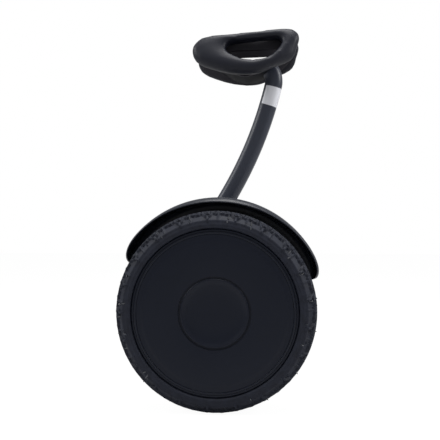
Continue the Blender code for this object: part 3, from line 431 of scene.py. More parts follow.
TREAD_PITCHES, TREAD_PITCH, TREAD_STEPS = 21, 38.9, 38
TREAD_STEP, TREAD_END, LUG_HEIGHT = 1.05, 46.0, 3.2
INNER_GROOVE, OUTER_GROOVE, BLOCK_END, KNOB_START, KNOB_END = 7.6, 23.0, 23.4, 22.8, 37.5
FORK_RUN, FOOT_RUN = 31.0, 32.6
TREAD_SIDE = [(0.0, 128.5), (10.0, 128.1), (18.0, 127.2), (25.0, 125.1), (30.0, 121.6),
              (33.2, 117.6), (34.6, 114.0), (34.8, 111.4), (33.0, 108.9), (27.9, 108.4),
              (27.4, 104.0), (27.2, 84.2), (18.4, 84.2), (22.0, 106.0), (0.0, 113.0)]
HAIR_SEEDS = {"left": 11, "right": 12}
HAIRS_PER_ROW = 17
HAIR_ROWS = np.array([(-20.5, 126.1), (-12.5, 127.5), (-3.0, 128.1), (4.0, 128.1), (13.5, 127.4),
                      (21.0, 126.0), (-29.0, 121.9), (29.0, 121.9), (-32.6, 117.2), (32.6, 117.2)])
HAIR_RADII = (1.2, 0.95, 0.5)
HAIR_HEIGHTS = (3.0, 6.2)
WORN_AWAY = -0.93
COVER_PROFILE = soften([(46.9, 33.0), (93.0, 33.6), (96.5, 32.7), (101.2, 32.7), (101.2, 31.4),
                        (107.2, 31.4), (108.0, 30.6), (108.0, 29.5), (40.0, 29.5), (40.0, 30.9),
                        (46.9, 30.9)], [0.6, 1.2, 1.2, 0.4, 0.4, 0.5, 0.5, 0.4, 0.3, 0.3, 0.3])
BEAD_PROFILE = soften([(101.4, 31.5), (101.4, 32.8), (103.0, 33.3), (104.6, 32.5), (105.2, 31.5)],
                      [0.3, 0.7, 1.2, 1.2, 0.5])
CAP_PROFILE = soften([(0.0, 28.6), (14.0, 28.8), (28.0, 29.4), (37.8, 30.7), (42.8, 33.9),
                      (44.5, 32.9), (44.5, 31.2), (42.2, 31.2), (38.9, 28.4), (0.0, 26.2)],
                     [0, 5, 6, 4, 1.0, 1.2, 0.3, 0.5, 1.0, 0])


def groove(distance, half_width, edge=0.7):
    """1 inside a groove, 0 outside it, with a slanted wall of the given width."""
    return held((half_width + edge - np.abs(distance)) / edge)


def tread_depth(run, phase):
    """Depth of the tread below its blocks at a run from the crown and a phase of its pitch.

    A plain centre rib, a zigzag groove, slanted blocks with a sipe, a second groove, and shoulder
    knobs of two lengths: a Y-shaped groove, whose arms meet at the fork, and a plain one part them
    in turn, and their feet step back below it.
    """
    zigzag = 1.5 * np.abs(2.0 * ((3.0 * phase) % 1.0) - 1.0) - 0.75
    first = groove(run - INNER_GROOVE - zigzag, 1.1)
    second = groove(run - OUTER_GROOVE - zigzag, 0.8)
    slant = (2.0 * phase - 0.018 * (run - 16.0)) % 1.0
    across = 0.5 * TREAD_PITCH * np.minimum(slant, 1.0 - slant)
    inner = (run > INNER_GROOVE) * (run < BLOCK_END)
    blocks = groove(across, 1.1) * inner
    short = inner * (np.abs(run - 16.0) < 5.5)
    sipe = 0.35 * groove(0.5 * TREAD_PITCH * (slant - 0.5), 0.2, 0.6) * short
    outer = (run > KNOB_START) * (run < KNOB_END)
    fading = held((KNOB_END - run) / 2.4)
    fork = TREAD_PITCH * np.abs((phase + 0.5) % 1.0 - 0.5)
    arm = np.maximum(0.0, 0.85 * (FORK_RUN - run))
    stem = 0.8 + 0.12 * np.maximum(run - FORK_RUN, 0.0)
    wide = groove(fork - arm, stem) * outer * fading
    wedge = 0.3 * (fork < arm) * outer
    plain = TREAD_PITCH * np.abs((phase + 0.13) % 1.0 - 0.5)
    plain = 0.6 * groove(plain, 0.6) * outer * fading
    foot = 0.3 * held((run - FOOT_RUN) / 0.9) * outer * fading
    cuts = np.broadcast_arrays(first, second, blocks, sipe, wide, wedge, plain, foot)
    return LUG_HEIGHT * np.max(cuts, 0)


def tyre_shell():
    """Half outline mirrored about the crown and carried round the axle, its tread cut along the
    outline's own normal: point = outline - depth(run, phase) * normal."""
    half = soften(TREAD_SIDE, 2.5, closed=False)
    run = run_along(half)
    spots = np.hstack([np.arange(0.0, TREAD_END, TREAD_STEP), run[run > TREAD_END]])
    side = at_runs(half, run, spots)
    slope = np.gradient(side, axis=0)
    normal = np.stack([-slope[:, 1], slope[:, 0]], 1)
    normal /= np.linalg.norm(normal, axis=1)[:, None]
    turns = TREAD_PITCHES * TREAD_STEPS
    phase = (np.arange(turns) / TREAD_STEPS % 1.0)[:, None]
    halves = []
    for sign, offset in ((1.0, 0.0), (-1.0, 0.5)):
        depth = tread_depth(spots[None, :], (phase + offset) % 1.0) * (spots < TREAD_END - 3.0)
        y = sign * (side[:, 0] + depth * normal[:, 0])
        r = side[:, 1] + depth * normal[:, 1]
        halves.append((y, r))
    y, r = (np.hstack([halves[0][k], halves[1][k][:, -2:0:-1]]) for k in (0, 1))
    angle = (2.0 * math.pi * np.arange(turns) / turns)[:, None]
    return sheet_of(np.stack([r * np.cos(angle), y, r * np.sin(angle)], -1), ring_rows=True)


def vent_hairs(seed):
    """Moulding hairs: thin tapered stubs all over the tread, left out where it meets the ground.

    Each is a bent spike of three square rings, about base + share * height * lean
    + share^2 * bend * side for shares of 0, a half and 1.
    """
    draw = np.random.default_rng(seed)
    rows = np.repeat(HAIR_ROWS, HAIRS_PER_ROW, 0)
    count = len(rows)
    station = np.tile(np.arange(HAIRS_PER_ROW), len(HAIR_ROWS))
    angle = 2.0 * math.pi * (station + draw.uniform(0.0, 1.0, count)) / HAIRS_PER_ROW
    y, r = rows[:, 0], rows[:, 1] - 0.8
    height = draw.uniform(*HAIR_HEIGHTS, count)
    lean = draw.normal(0.0, 0.32, (count, 3))
    bend = draw.normal(0.0, 0.7, count)
    kept = np.sin(angle) > WORN_AWAY
    angle, y, r, height, lean, bend = (each[kept] for each in (angle, y, r, height, lean, bend))
    base = np.stack([r * np.cos(angle), y, r * np.sin(angle)], 1)
    out = np.stack([np.cos(angle), y / 60.0, np.sin(angle)], 1) + lean
    out /= np.linalg.norm(out, axis=1)[:, None]
    side = np.cross(out, [0.3, 1.0, 0.2])
    side /= np.linalg.norm(side, axis=1)[:, None]
    across = np.cross(out, side)
    share = np.array([0.0, 0.5, 1.0])[None, :, None]
    axis = base[:, None] + share * height[:, None, None] * out[:, None]
    axis = axis + share ** 2 * bend[:, None, None] * side[:, None]
    corner = QUARTER * np.arange(4)
    rim = (np.cos(corner)[None, :, None] * side[:, None] + np.sin(corner)[None, :, None] * across[:, None])
    points = axis[:, :, None] + np.array(HAIR_RADII)[None, :, None, None] * rim[:, None]
    k = np.arange(4)
    low = np.stack([k, (k + 1) % 4, (k + 1) % 4 + 4, k + 4], 1)
    spike = np.vstack([low, low + 4, [[3, 2, 1, 0], [8, 9, 10, 11]]])
    faces = spike[None] + 12 * np.arange(len(points))[:, None, None]
    return points.reshape(-1, 3), faces.reshape(-1, 4).tolist()


def make_wheels():
    for side, sign in SIDES:
        wheel, body = WHEEL[sign], f"wheel_{side}"
        piece(f"tyre_tread_{side}", [tyre_shell()], wheel, TYRE_RUBBER, body, (f"tyre_{side}",), 55.0)
        piece(f"tyre_vent_hairs_{side}", [vent_hairs(HAIR_SEEDS[side])], wheel, HAIR_RUBBER, body)
        piece(f"wheel_disc_{side}", [spun(COVER_PROFILE, 160)], wheel, COVER_ABS, body,
              (f"wheel_cover_{side}",))
        piece(f"disc_bead_{side}", [spun(BEAD_PROFILE, 200)], wheel, GLOSSY_ABS, body)
        piece(f"hub_cap_{side}", [spun(CAP_PROFILE, 128)], wheel, COVER_ABS, body, (f"centre_cap_{side}",))


# Mudguards

HOOD_RADIUS, HOOD_Z, HOOD_ROOT_Y = 145.4, 4.4, 196.3
HOOD_LEVEL, HOOD_TIP = 52.0, 18.0
LIP_SHARE, LIP_ANGLE = 0.92, 58.0
HOOD_OUTLINE = [(193.3, -16.0), (193.3, -8.0), (197.0, -3.0), (204.0, -1.0), (222.0, 0.2), (229.0, -0.2),
                (234.0, -2.4), (237.6, -5.2), (238.2, -6.8), (236.8, -7.6), (234.0, -6.2), (229.0, -3.8),
                (222.0, -3.2), (204.5, -4.3), (199.0, -6.0), (196.3, -10.0), (196.3, -16.0)]
HOOD_REACHES = [0.6, 3, 3, 3, 4, 3, 2, 1.2, 0.8, 0.8, 2, 3, 3, 4, 3, 3, 0.6]
LIP_AT_ENDS = {6: -0.4, 7: -1.3, 8: -2.2, 9: -3.0, 10: -3.5, 11: -3.5}
WEB_RADIUS, WEB_DROP, WEB_NEAR, WEB_FAR = 133.0, 10.0, 193.4, 196.2
WEB_FOOT = [(92.0, -22.0), (14.0, -22.0), (14.0, 0.0), (10.0, 10.0), (0.0, 14.0), (-10.0, 10.0),
            (-14.0, 0.0), (-14.0, -22.0), (-92.0, -22.0)]


def hood_arc(level_steps, tip_steps):
    """Angles over the wheel from one end of the hood to the other, and how far into its round end
    each one is: even steps up to 52 degrees, then 52 + 18 sin t, where the share is sin t."""
    tip = np.sin(np.linspace(0.0, QUARTER, tip_steps))[1:]
    angle = np.hstack([np.linspace(0.0, HOOD_LEVEL, level_steps), HOOD_LEVEL + HOOD_TIP * tip])
    share = np.hstack([np.zeros(level_steps), tip])
    return np.hstack([-angle[:0:-1], angle]), np.hstack([share[:0:-1], share])


def hood_shell(sign):
    """The hood's outline carried over 140 degrees.

    With s from 0 at 52 degrees to 1 at the tip, its radius is 145.4 + offset - 1.6 s^2
    - 10 (1 - sqrt(1 - s^4)), and it reaches out by sqrt(1 - s^2). Its slanted lip narrows from the
    top to both ends by sin^2, towards an outline with a thin edge.
    """
    thin = [(y, LIP_AT_ENDS.get(i, offset)) for i, (y, offset) in enumerate(HOOD_OUTLINE)]
    outline, thin = soften(HOOD_OUTLINE, HOOD_REACHES), soften(thin, HOOD_REACHES)
    angle, share = hood_arc(40, 22)
    share = share[:, None]
    reach = np.maximum(np.sqrt(np.maximum(1.0 - share ** 2, 0.0)), 0.05)
    toward_end = held(np.abs(angle) / LIP_ANGLE)
    narrow = LIP_SHARE * np.sin(np.radians(toward_end * 90.0))[:, None] ** 2
    y, offset = (outline[None, :, k] * (1.0 - narrow) + thin[None, :, k] * narrow for k in (0, 1))
    radius = HOOD_RADIUS + offset - 1.6 * share ** 2
    radius = radius - 10.0 * (1.0 - np.sqrt(np.maximum(1.0 - share ** 4, 0.0)))
    y = np.where(y <= HOOD_ROOT_Y, y, HOOD_ROOT_Y + (y - HOOD_ROOT_Y) * reach)
    a = np.radians(angle)[:, None]
    return loft(np.stack([radius * np.sin(a), sign * y, HOOD_Z + radius * np.cos(a)], -1))


def web_shell(sign):
    """The side plate under the hood: an arc whose radius falls by 10 s^2 towards the tips."""
    angle, share = hood_arc(24, 12)
    radius = WEB_RADIUS - WEB_DROP * share ** 2
    arc = np.stack([radius * np.sin(np.radians(angle)), HOOD_Z + radius * np.cos(np.radians(angle))], 1)
    low, high = sorted((sign * WEB_NEAR, sign * WEB_FAR))
    return slab(np.vstack([arc, WEB_FOOT]), low, high, 0.5, "XZ", 2)


def make_mudguards():
    for side, sign in SIDES:
        piece(f"mudguard_{side}", [hood_shell(sign), web_shell(sign)], BODY, SATIN_ABS, "chassis",
              (f"fender_{side}",))


# Steering bar

BAR_DEPTH, BAR_WIDTH, BAR_CORNER, BAR_CROWN = 26.4, 34.4, 7.8, 0.2
BORE_DEPTH, BORE_WIDTH, BORE_CORNER = 21.4, 30.0, 5.5
SECTION_STEPS = 96
GROWTH, GROWTH_BACK, GROWTH_START, GROWTH_RUN = 0.03, 0.9, 36.0, 40.0
LABEL_LIFT, LABEL_CORNER, LABEL_STEPS = 0.2, 7.9, 42
LABEL_BEFORE, LABEL_AFTER, LABEL_LOW, LABEL_HIGH = 11.0, 27.6, 232.0, 265.0
LABEL_UNDER = np.array([0.994, 0.9955])


def closed_walk(outline):
    """The outline with its first point again at its end, and its run."""
    walked = np.vstack([outline, outline[:1]])
    return walked, run_along(walked)


def bar_section(depth, width, corner, crown=BAR_CROWN):
    """Rounded rectangle in even steps, its broad sides crowned: b times 1 - crown (2 a / depth)^2."""
    section, walk = closed_walk(round_rectangle(depth, width, corner))
    a, b = at_runs(section, walk, np.linspace(0.0, walk[-1], SECTION_STEPS, endpoint=False)).T
    return np.stack([a, b * (1.0 - crown * (2.0 * a / depth) ** 2)], 1)


def tube_rings(section, line):
    """The section carried along the line: point = line + a * (sin h, -cos h) in plane, b along Y.

    Above the collar the tube grows by 3 % and stands 0.9 mm further back: 3 t^2 - 2 t^3 of the run.
    """
    across = np.stack([np.sin(line[:, 2]), -np.cos(line[:, 2])], 1)
    t = held((line[:, 3] - GROWTH_START) / GROWTH_RUN)
    above = (t * t * (3.0 - 2.0 * t))[:, None]
    a = section[None, :, 0] * (1.0 + GROWTH * above) + GROWTH_BACK * above
    x = line[:, None, 0] + a * across[:, None, 0]
    z = line[:, None, 1] + a * across[:, None, 1]
    return np.stack([x, np.broadcast_to(section[:, 1], x.shape), z], -1)


def make_bar():
    outer = tube_rings(bar_section(BAR_DEPTH, BAR_WIDTH, BAR_CORNER), LINE)
    inner = tube_rings(bar_section(BORE_DEPTH, BORE_WIDTH, BORE_CORNER, 0.0), LINE)
    piece("bar_tube", [sheet_of(np.vstack([outer, inner[::-1]]), ring_rows=True)], BODY,
          BAR_PAINT, "bar", ("steering_bar",))


def make_label():
    """Blank film wrapped on the bar: a strip of its section, from the left face to the rear one."""
    section, walk = closed_walk(bar_section(BAR_DEPTH + LABEL_LIFT, BAR_WIDTH + LABEL_LIFT, LABEL_CORNER))
    left_middle = walk[np.argmin(section[:-1, 1] + 0.001 * np.abs(section[:-1, 0]))]
    spots = np.linspace(left_middle - LABEL_BEFORE, left_middle + LABEL_AFTER, LABEL_STEPS)
    strip = at_runs(section, walk, spots % walk[-1])
    line = LINE[(LINE[:, 3] > LABEL_LOW) & (LINE[:, 3] < LABEL_HIGH)]
    top = tube_rings(strip, line)
    under = tube_rings(strip * LABEL_UNDER, line)
    piece("blank_label", [loft(np.hstack([top, under[:, ::-1]]))], BODY, LABEL_FILM, "bar", sharp=60.0)


# Knee pads

PAD_OUTLINE = [(-84.5, 6.5), (-80, 19.5), (-66, 29), (-30, 34), (20, 38.8), (62, 43), (79, 37.2),
               (82.5, 23), (67, -2), (44, -21), (14, -33), (-20, -32), (-51, -23.5), (-76, -10)]
PAD_HOLE = [(-31, 10), (-29, 16), (-24, 20.5), (-8, 22), (20, 24.5), (46, 26.5), (53, 23.5),
            (53.5, 15), (46, 4), (33, -6.5), (12, -11), (-6, -8.5), (-19, -3), (-28, 3.5)]
PLATE_HOLE = [(-28, 7), (-26, 10.5), (-21, 13.2), (-8, 14.3), (20, 15.0), (44, 15.8), (50, 14.5),
              (51, 11.5), (45, 4), (32, -6.8), (10, -14.2), (-6, -11), (-19, -4), (-26, 2.5)]
PLATE_HEIGHTS = np.array([-25.9, -25.3, -25.3, -25.9, -28.2, -28.8, -28.8, -28.2])
PLATE_INSET, PLATE_EDGE = 7.0, 0.6
PAD_TAB = [(-24, -18), (26, -18), (23, -24), (1, -30.5), (-5, -30.5), (-20, -25.5)]
TAB_HEIGHTS = (-28.7, -25.4)
FOAM_FACE, OUTER_ROUND, HOLE_ROUND = -2.0, 10.0, 4.0
FOAM_SLACK, FOAM_CAP = 1.1, 2.4
PINNED_BELOW, CLOTH_FRAMES = -21.0, 20


def through(points, per_span):
    """Closed Catmull-Rom curve through the points."""
    p = np.array(points, float)[:, None, :]
    a, b, c, d = (np.roll(p, -k, 0) for k in (-1, 0, 1, 2))
    t = (np.arange(per_span) / per_span)[None, :, None]
    curve = 0.5 * (2 * b + (c - a) * t + (2 * a - 5 * b + 4 * c - d) * t ** 2
                   + (3 * b - a - 3 * c + d) * t ** 3)
    return curve.reshape(-1, 2)


def flare_at(point):
    """How far the foam's back stands out past its face, in mm: a bell curve at each lower corner."""
    a, b = point[:, :1], point[:, 1:]
    right = 8.8 * np.exp(-((a - 70.0) / 21.0) ** 2 - ((b + 4.5) / 16.5) ** 2)
    left = 2.0 * np.exp(-((a + 72.0) / 20.0) ** 2 - ((b + 12.0) / 16.0) ** 2)
    return right + left


def pad_rings(section, edge, sign, per_span, *slack):
    """A section, given as arrays for the local width, carried round between outline and hole."""
    outer, hole = through(PAD_OUTLINE, per_span), through(edge, per_span)
    width = np.linalg.norm(hole - outer, axis=1)[:, None]
    inwards = (hole - outer) / width
    across, height = section(width, flare_at(outer), *slack)
    point = outer[:, None, :] + across[..., None] * inwards[:, None, :]
    return np.stack([point[..., 0], -sign * point[..., 1], height], -1)


def cushion_section(width, flare, slack=0.0):
    """Crowned face between two rounded edges, vertical walls and a flat back.

    The outer edge is a quarter circle of 10 mm, the hole's edge one of 4 mm, and the face between
    them rises as 1 - (2 u - 1)^2 to a crown of 5 % of the width, at most 2 mm. Slack draws the face
    and both walls in.
    """
    t = np.linspace(0.0, QUARTER, 9)
    outer = np.minimum(OUTER_ROUND, 0.42 * width)
    rim = np.minimum(HOLE_ROUND, 0.3 * width)
    crown = np.minimum(0.05 * width, 2.0)
    u = np.linspace(0.0, 1.0, 11)[1:-1]
    inner_wall = width - slack
    across = [slack + outer * (1 - np.cos(t)), outer + (width - outer - rim) * u,
              inner_wall - rim * (1 - np.sin(t)), inner_wall - np.array([0.8, 2.2, 4.0]),
              slack + 0 * width + np.array([6.0, 3.2, 1.0])]
    back = 0 * width + np.array([-21.5, -23.8, -24.9])
    edge = 0 * width + np.array([-24.9, -23.6, -20.0])
    face = FOAM_FACE - slack
    height = [face - outer * (1 - np.sin(t)), face + crown * (1 - (2 * u - 1) ** 2),
              face - rim * (1 - np.cos(t)), back, edge]
    for side in (0, 4):
        across[side] = across[side] - flare * held((-4.0 - height[side]) / 13.0)
    return np.hstack(across), np.hstack(height)


def plate_section(width, flare):
    """Flat ring behind the foam, its edges drawn in by 0.6 mm, well inside the foam's outer edge."""
    low, high = PLATE_INSET + 0 * width, width
    rounded = [low, low + PLATE_EDGE, high - PLATE_EDGE, high]
    across = np.hstack([*rounded, *rounded[::-1]])
    return across, np.broadcast_to(PLATE_HEIGHTS, across.shape)


def foamed(name, shell, place):
    """Foam swollen inside its skin: a cloth simulation under pressure on a 4 mm mesh of the shell.

    The back, where the foam rests on its plate, is pinned, and no point moves further than the cap.
    """
    mesh = bpy.data.meshes.new(name)
    mesh.from_pydata(carried(shell[0], place) * MM, [], shell[1])
    skin = placed(name, mesh)
    remesh = skin.modifiers.new("remesh", "REMESH")
    remesh.mode = "VOXEL"
    remesh.voxel_size = 0.004
    settle(skin)
    start = points_of(skin.data)
    turn = np.array(place)
    local = turn[:3, :3].T @ (start * 1000.0 - turn[:3, 3]).T
    pins = skin.vertex_groups.new(name="back")
    pins.add(np.flatnonzero(local[2] < PINNED_BELOW).tolist(), 1.0, "REPLACE")
    cloth = skin.modifiers.new("cloth", "CLOTH").settings
    cloth.vertex_group_mass = "back"
    cloth.use_pressure = True
    cloth.uniform_pressure_force = 4.0
    cloth.effector_weights.gravity = 0.0
    scene = bpy.context.scene
    for step in range(1, CLOTH_FRAMES + 1):
        scene.frame_set(step)
    deps = bpy.context.evaluated_depsgraph_get()
    swollen = points_of(skin.evaluated_get(deps).data)
    scene.frame_set(1)
    skin.modifiers.clear()
    path = swollen - start
    reach = np.maximum(np.linalg.norm(path, axis=1), 1e-9)[:, None]
    path *= np.minimum(1.0, FOAM_CAP * MM / reach)
    skin.data.vertices.foreach_set("co", (start + path).ravel())
    smooth = skin.modifiers.new("smooth", "SUBSURF")
    smooth.levels = smooth.render_levels = 1
    settle(skin)
    foam = skin.data.copy()
    bpy.data.objects.remove(skin)
    return foam


def make_pads():
    for side, sign in SIDES:
        place = PAD[sign]
        name, node = f"knee_cushion_{side}", f"knee_pad_{side}"
        rings = pad_rings(cushion_section, PAD_HOLE, sign, 8, FOAM_SLACK)
        foam = foamed(name, sheet_of(rings, ring_rows=True), place)
        pad = shown(foam, name, PAD_SKIN, "bar", (node,), 70.0)
        ring = sheet_of(pad_rings(plate_section, PLATE_HOLE, sign, 8), ring_rows=True)
        outline = soften([(a, -sign * b) for a, b in PAD_TAB], 2.5)
        piece(f"pad_backing_{side}", [ring, slab(outline, *TAB_HEIGHTS, 0.6)], place, BACKING,
              "bar", (f"pad_plate_{side}",))


# Keel between the pads

KEEL_OUTLINE = [(10.0, -18.0), (30.5, -2.7), (25.1, 3.5), (20.2, 7.0), (-56.0, 7.0), (-56.0, -7.9),
                (-36.0, -20.0), (-17.0, -24.6), (-4.0, -23.0)]
KEEL_EDGE = ((1.0, 2.2), (0.99, 1.0), (0.96, 0.3), (0.9, 0.0))
KEEL_HEIGHTS, KEEL_HALVES = [-40.0, 1.8, 7.2], [44.3, 30.7, 8.0]


def make_yoke():
    """The keel under the head: an outline in X-Z carried across, as wide as the pads leave it."""
    outline = soften(KEEL_OUTLINE, 2.5)
    rings = []
    left = [(-share, margin) for share, margin in KEEL_EDGE]
    for share, margin in (*left, (0.0, 0.0), *KEEL_EDGE[::-1]):
        x, z = inset(outline, margin).T
        rings.append(np.stack([x, share * np.interp(z, KEEL_HEIGHTS, KEEL_HALVES), z], 1))
    # The keel's darker nylon is painted shade on its underside
    piece("pad_yoke", [loft(rings)], HEAD, KEEL_NYLON_SHADE, "bar", ("pad_bracket",))


# Body

BODY_HALF, BODY_BOW, BODY_SIDE = 96.0, 8.0, 193.0
HUMP_RADIUS, HUMP_FOOT, DECK_Z, RIM_Z = 46.0, 21.0, 18.0, 8.3
NOSE_X, NOSE_RUN, NOSE_DROP = -84.0, 20.0, 50.0
TAIL_X, TAIL_RUN, TAIL_DROP = -30.0, 118.0, 58.0
LEVEL_END, END_RUN, END_DROP = 98.0, 6.0, 4.0
EDGE_START, EDGE_LOW = 187.5, 13.5
SLOT = (40.5, 49.0, 8.0, 52.0, 100.0, -58.75)
POCKET, POCKET_Y = (120.0, 100.0, 8.0, 16.4, 30.0, 0.0), 120.0
DISPLAY_X, DISPLAY_DEPTH, DISPLAY_WIDTH, DISPLAY_CORNER, DISPLAY_CUT = 16.0, 28.0, 34.0, 6.0, 8.0
BEZEL = np.array([(0.1, -2.6), (0.1, 0.15), (0.6, 0.45), (1.5, 0.45), (1.9, 0.15), (1.9, -2.6)])


def half_length(y):
    """Half of the body's length at y: 96 + 8 (1 - (y / 193)^2)."""
    return BODY_HALF + BODY_BOW * (1.0 - (y / BODY_SIDE) ** 2)


def hump_centre(x):
    """Height of the hump's axis: a quarter ellipse at the nose, level, then a fall to the rear.

    The fall is 58 (3 s^2 - 2 s^3), with s from 0 to 1 over its run.
    """
    t = held((NOSE_X - x) / NOSE_RUN)
    s = held((x - TAIL_X) / TAIL_RUN)
    level = PIVOT_Z - NOSE_DROP * (1.0 - np.sqrt(1.0 - t * t))
    return level - TAIL_DROP * s * s * (3.0 - 2.0 * s)


def cover_sheet():
    """The top cover's outer face: at each x an arc of radius 46 over the hump, a quadratic fillet,
    the flat deck and a rounded edge, mirrored.

    Near both ends the deck falls by 4 (1 - sqrt(1 - t^2)).
    """
    quarter = np.linspace(0.0, QUARTER, 15)
    x = np.hstack([NOSE_X - NOSE_RUN * np.sin(quarter[::-1]), np.linspace(-81.0, 96.0, 50),
                   LEVEL_END + END_RUN * np.sin(quarter[::2])])[:, None]
    centre = hump_centre(x)
    end = np.arcsin(held((HUMP_FOOT - centre) / HUMP_RADIUS))
    angle = QUARTER - (QUARTER - end) * np.linspace(0.0, 1.0, 17)[None, :]
    arc_y, arc_z = HUMP_RADIUS * np.cos(angle), centre + HUMP_RADIUS * np.sin(angle)
    width, foot = arc_y[:, -1:], 0.95 * np.minimum(arc_z[:, -1:] - DECK_Z, 5.0)
    t = np.linspace(0.0, 1.0, 6)[None, :]
    fillet_y = (1 - t) ** 2 * (width + 0.3) + 2 * t * (1 - t) * (width + 1.0) + t ** 2 * (width + 6.5)
    fillet_z = DECK_Z + (1 - t) ** 2 * foot
    deck = np.broadcast_to(np.array([[90.0, 125.0, 160.0]]), (len(x), 3))
    edge_y = np.broadcast_to((1 - t) ** 2 * EDGE_START + (1 - (1 - t) ** 2) * BODY_SIDE, (len(x), 6))
    edge_z = np.broadcast_to((1 - t ** 2) * DECK_Z + t ** 2 * EDGE_LOW, (len(x), 6))
    y = np.hstack([arc_y, fillet_y, deck, edge_y, edge_y[:, -1:]])
    z = np.hstack([arc_z, fillet_z, 0.0 * deck + DECK_Z, edge_z])
    over = held((np.abs(x) - LEVEL_END) / END_RUN)
    near_deck = held((DECK_Z + END_DROP - z) / END_DROP)
    z = z - END_DROP * (1.0 - np.sqrt(1.0 - over ** 2)) * near_deck
    z = np.hstack([z, 0.0 * width + RIM_Z])
    y, z = np.hstack([y[:, ::-1], -y[:, 1:]]), np.hstack([z[:, ::-1], z[:, 1:]])
    points = np.stack([x * half_length(y) / half_length(0.0), y, z], -1)
    rim = points[[0, -1]] * [1.0, 1.0, 0.0] + [0.0, 0.0, RIM_Z]
    return sheet_of(np.vstack([rim[:1], points, rim[1:]]), ring_columns=False)


def block(width, depth, corner, low, high, x=0.0, y=0.0):
    """Upright block with rounded corners."""
    outline = round_rectangle(width, depth, corner, 6) + [x, y]
    return loft([along(outline, "XY", low), along(outline, "XY", high)])


def display_place():
    """The display's frame in the body's: on the crest of the hump, level with its slope."""
    rise = float(hump_centre(DISPLAY_X + 1.0) - hump_centre(DISPLAY_X - 1.0))
    slope = turned(-math.degrees(math.atan2(rise, 2.0)), "Y")
    return shifted(DISPLAY_X, 0.0, float(hump_centre(DISPLAY_X)) + HUMP_RADIUS) @ slope


def make_deck():
    """The top cover: its outer face given a wall of 3 mm, then a slot, two pockets and a window."""
    window = block(DISPLAY_DEPTH, DISPLAY_WIDTH, DISPLAY_CORNER, -DISPLAY_CUT, DISPLAY_CUT)
    cutters = [block(*SLOT), block(*POCKET, POCKET_Y), block(*POCKET, -POCKET_Y),
               moved_to(window, display_place())]
    tool = placed("cutter", mesh_of("cutter", cutters, BODY))
    sheet = placed("deck", mesh_of("deck_cover", [cover_sheet()], BODY, outwards=False))
    wall = sheet.modifiers.new("wall", "SOLIDIFY")
    wall.thickness = 0.003
    wall.offset = -1.0
    wall.use_even_offset = True
    bore = sheet.modifiers.new("bore", "BOOLEAN")
    bore.operation = "DIFFERENCE"
    bore.solver = "EXACT"
    bore.object = tool
    settle(sheet)
    shell = sheet.data.copy()
    for obj in (tool, sheet):
        bpy.data.objects.remove(obj)
    shell.name = "deck_cover"
    shell.materials.clear()
    shown(shell, "deck_cover", SATIN_ABS, "chassis", ("top_cover",), SHARP)


def make_bezel():
    """The display's surround: rounded rectangles, drawn in and lifted, on the arc sqrt(46^2 - y^2)."""
    rings = np.array([along(round_rectangle(DISPLAY_DEPTH - 2.0 * d, DISPLAY_WIDTH - 2.0 * d,
                                            DISPLAY_CORNER - d, 6), "XY", 0.0) for d in BEZEL[:, 0]])
    arc = HUMP_RADIUS * np.sqrt(1.0 - (rings[..., 1] / HUMP_RADIUS) ** 2) - HUMP_RADIUS
    rings[..., 2] = arc + BEZEL[:, 1:]
    piece("display_bezel", [sheet_of(rings, ring_rows=True)], BODY @ display_place(), NYLON, "chassis")


# Mats, lights and screws

MAT_Y, MAT_LOW, MAT_FACE, RIB_ROOT, RIB_PITCH = 121.5, 18.3, 21.0, 20.0, 18.0
# Each lens: near and far end, low and high edge, corner, depth, bulge, flute and thickness
HEADLIGHT = (-42.6, 42.6, -31.6, -13.4, 5.6, 96.0, 1.6, 0.0, 2.2)
TAIL_LIGHT = (104.4, 165.6, -25.6, -12.4, 4.6, 94.0, 1.4, 0.45, 12.0)
TROUGH_X, TROUGH_Z, TROUGH_DEPTH, TROUGH_HALF, TROUGH_LENGTH = -95.7, -22.5, 2.4, 7.4, 41.0
SCREW_HEAD = [(0.0, 0.9), (1.5, 0.9), (1.6, 2.2), (2.4, 2.3), (3.6, 1.7), (4.0, 0.6), (4.0, -0.6),
              (0.0, -0.6)]
SCREW_PLACES = [(x, y) for x in (-80.0, 80.0) for y in (-150.0, -50.0, 50.0, 150.0)]
LID_Z = -49.3


def make_mats():
    """Rubber mats: a thin slab with nine rounded ribs across it, and a fine rib in each gap."""
    for side, sign in SIDES:
        y = sign * MAT_Y
        base = slab(round_rectangle(168.0, 131.0, 12.0) + [0.0, y], MAT_LOW, MAT_FACE, 0.9)
        ribs = [slab(round_rectangle(8.0, 117.0, 3.2, 5) + [x, y], RIB_ROOT, 23.2, 1.3, steps=4)
                for x in np.arange(-72.0, 73.0, RIB_PITCH)]
        fine = [slab(round_rectangle(2.4, 111.0, 1.1, 4) + [x, y], RIB_ROOT, 21.7, 0.5, steps=2)
                for x in np.arange(-63.0, 64.0, RIB_PITCH)]
        piece(f"foot_mat_ribbed_{side}", [base, *ribs, *fine], BODY, MAT_RUBBER, "chassis",
              (f"foot_mat_{side}",))


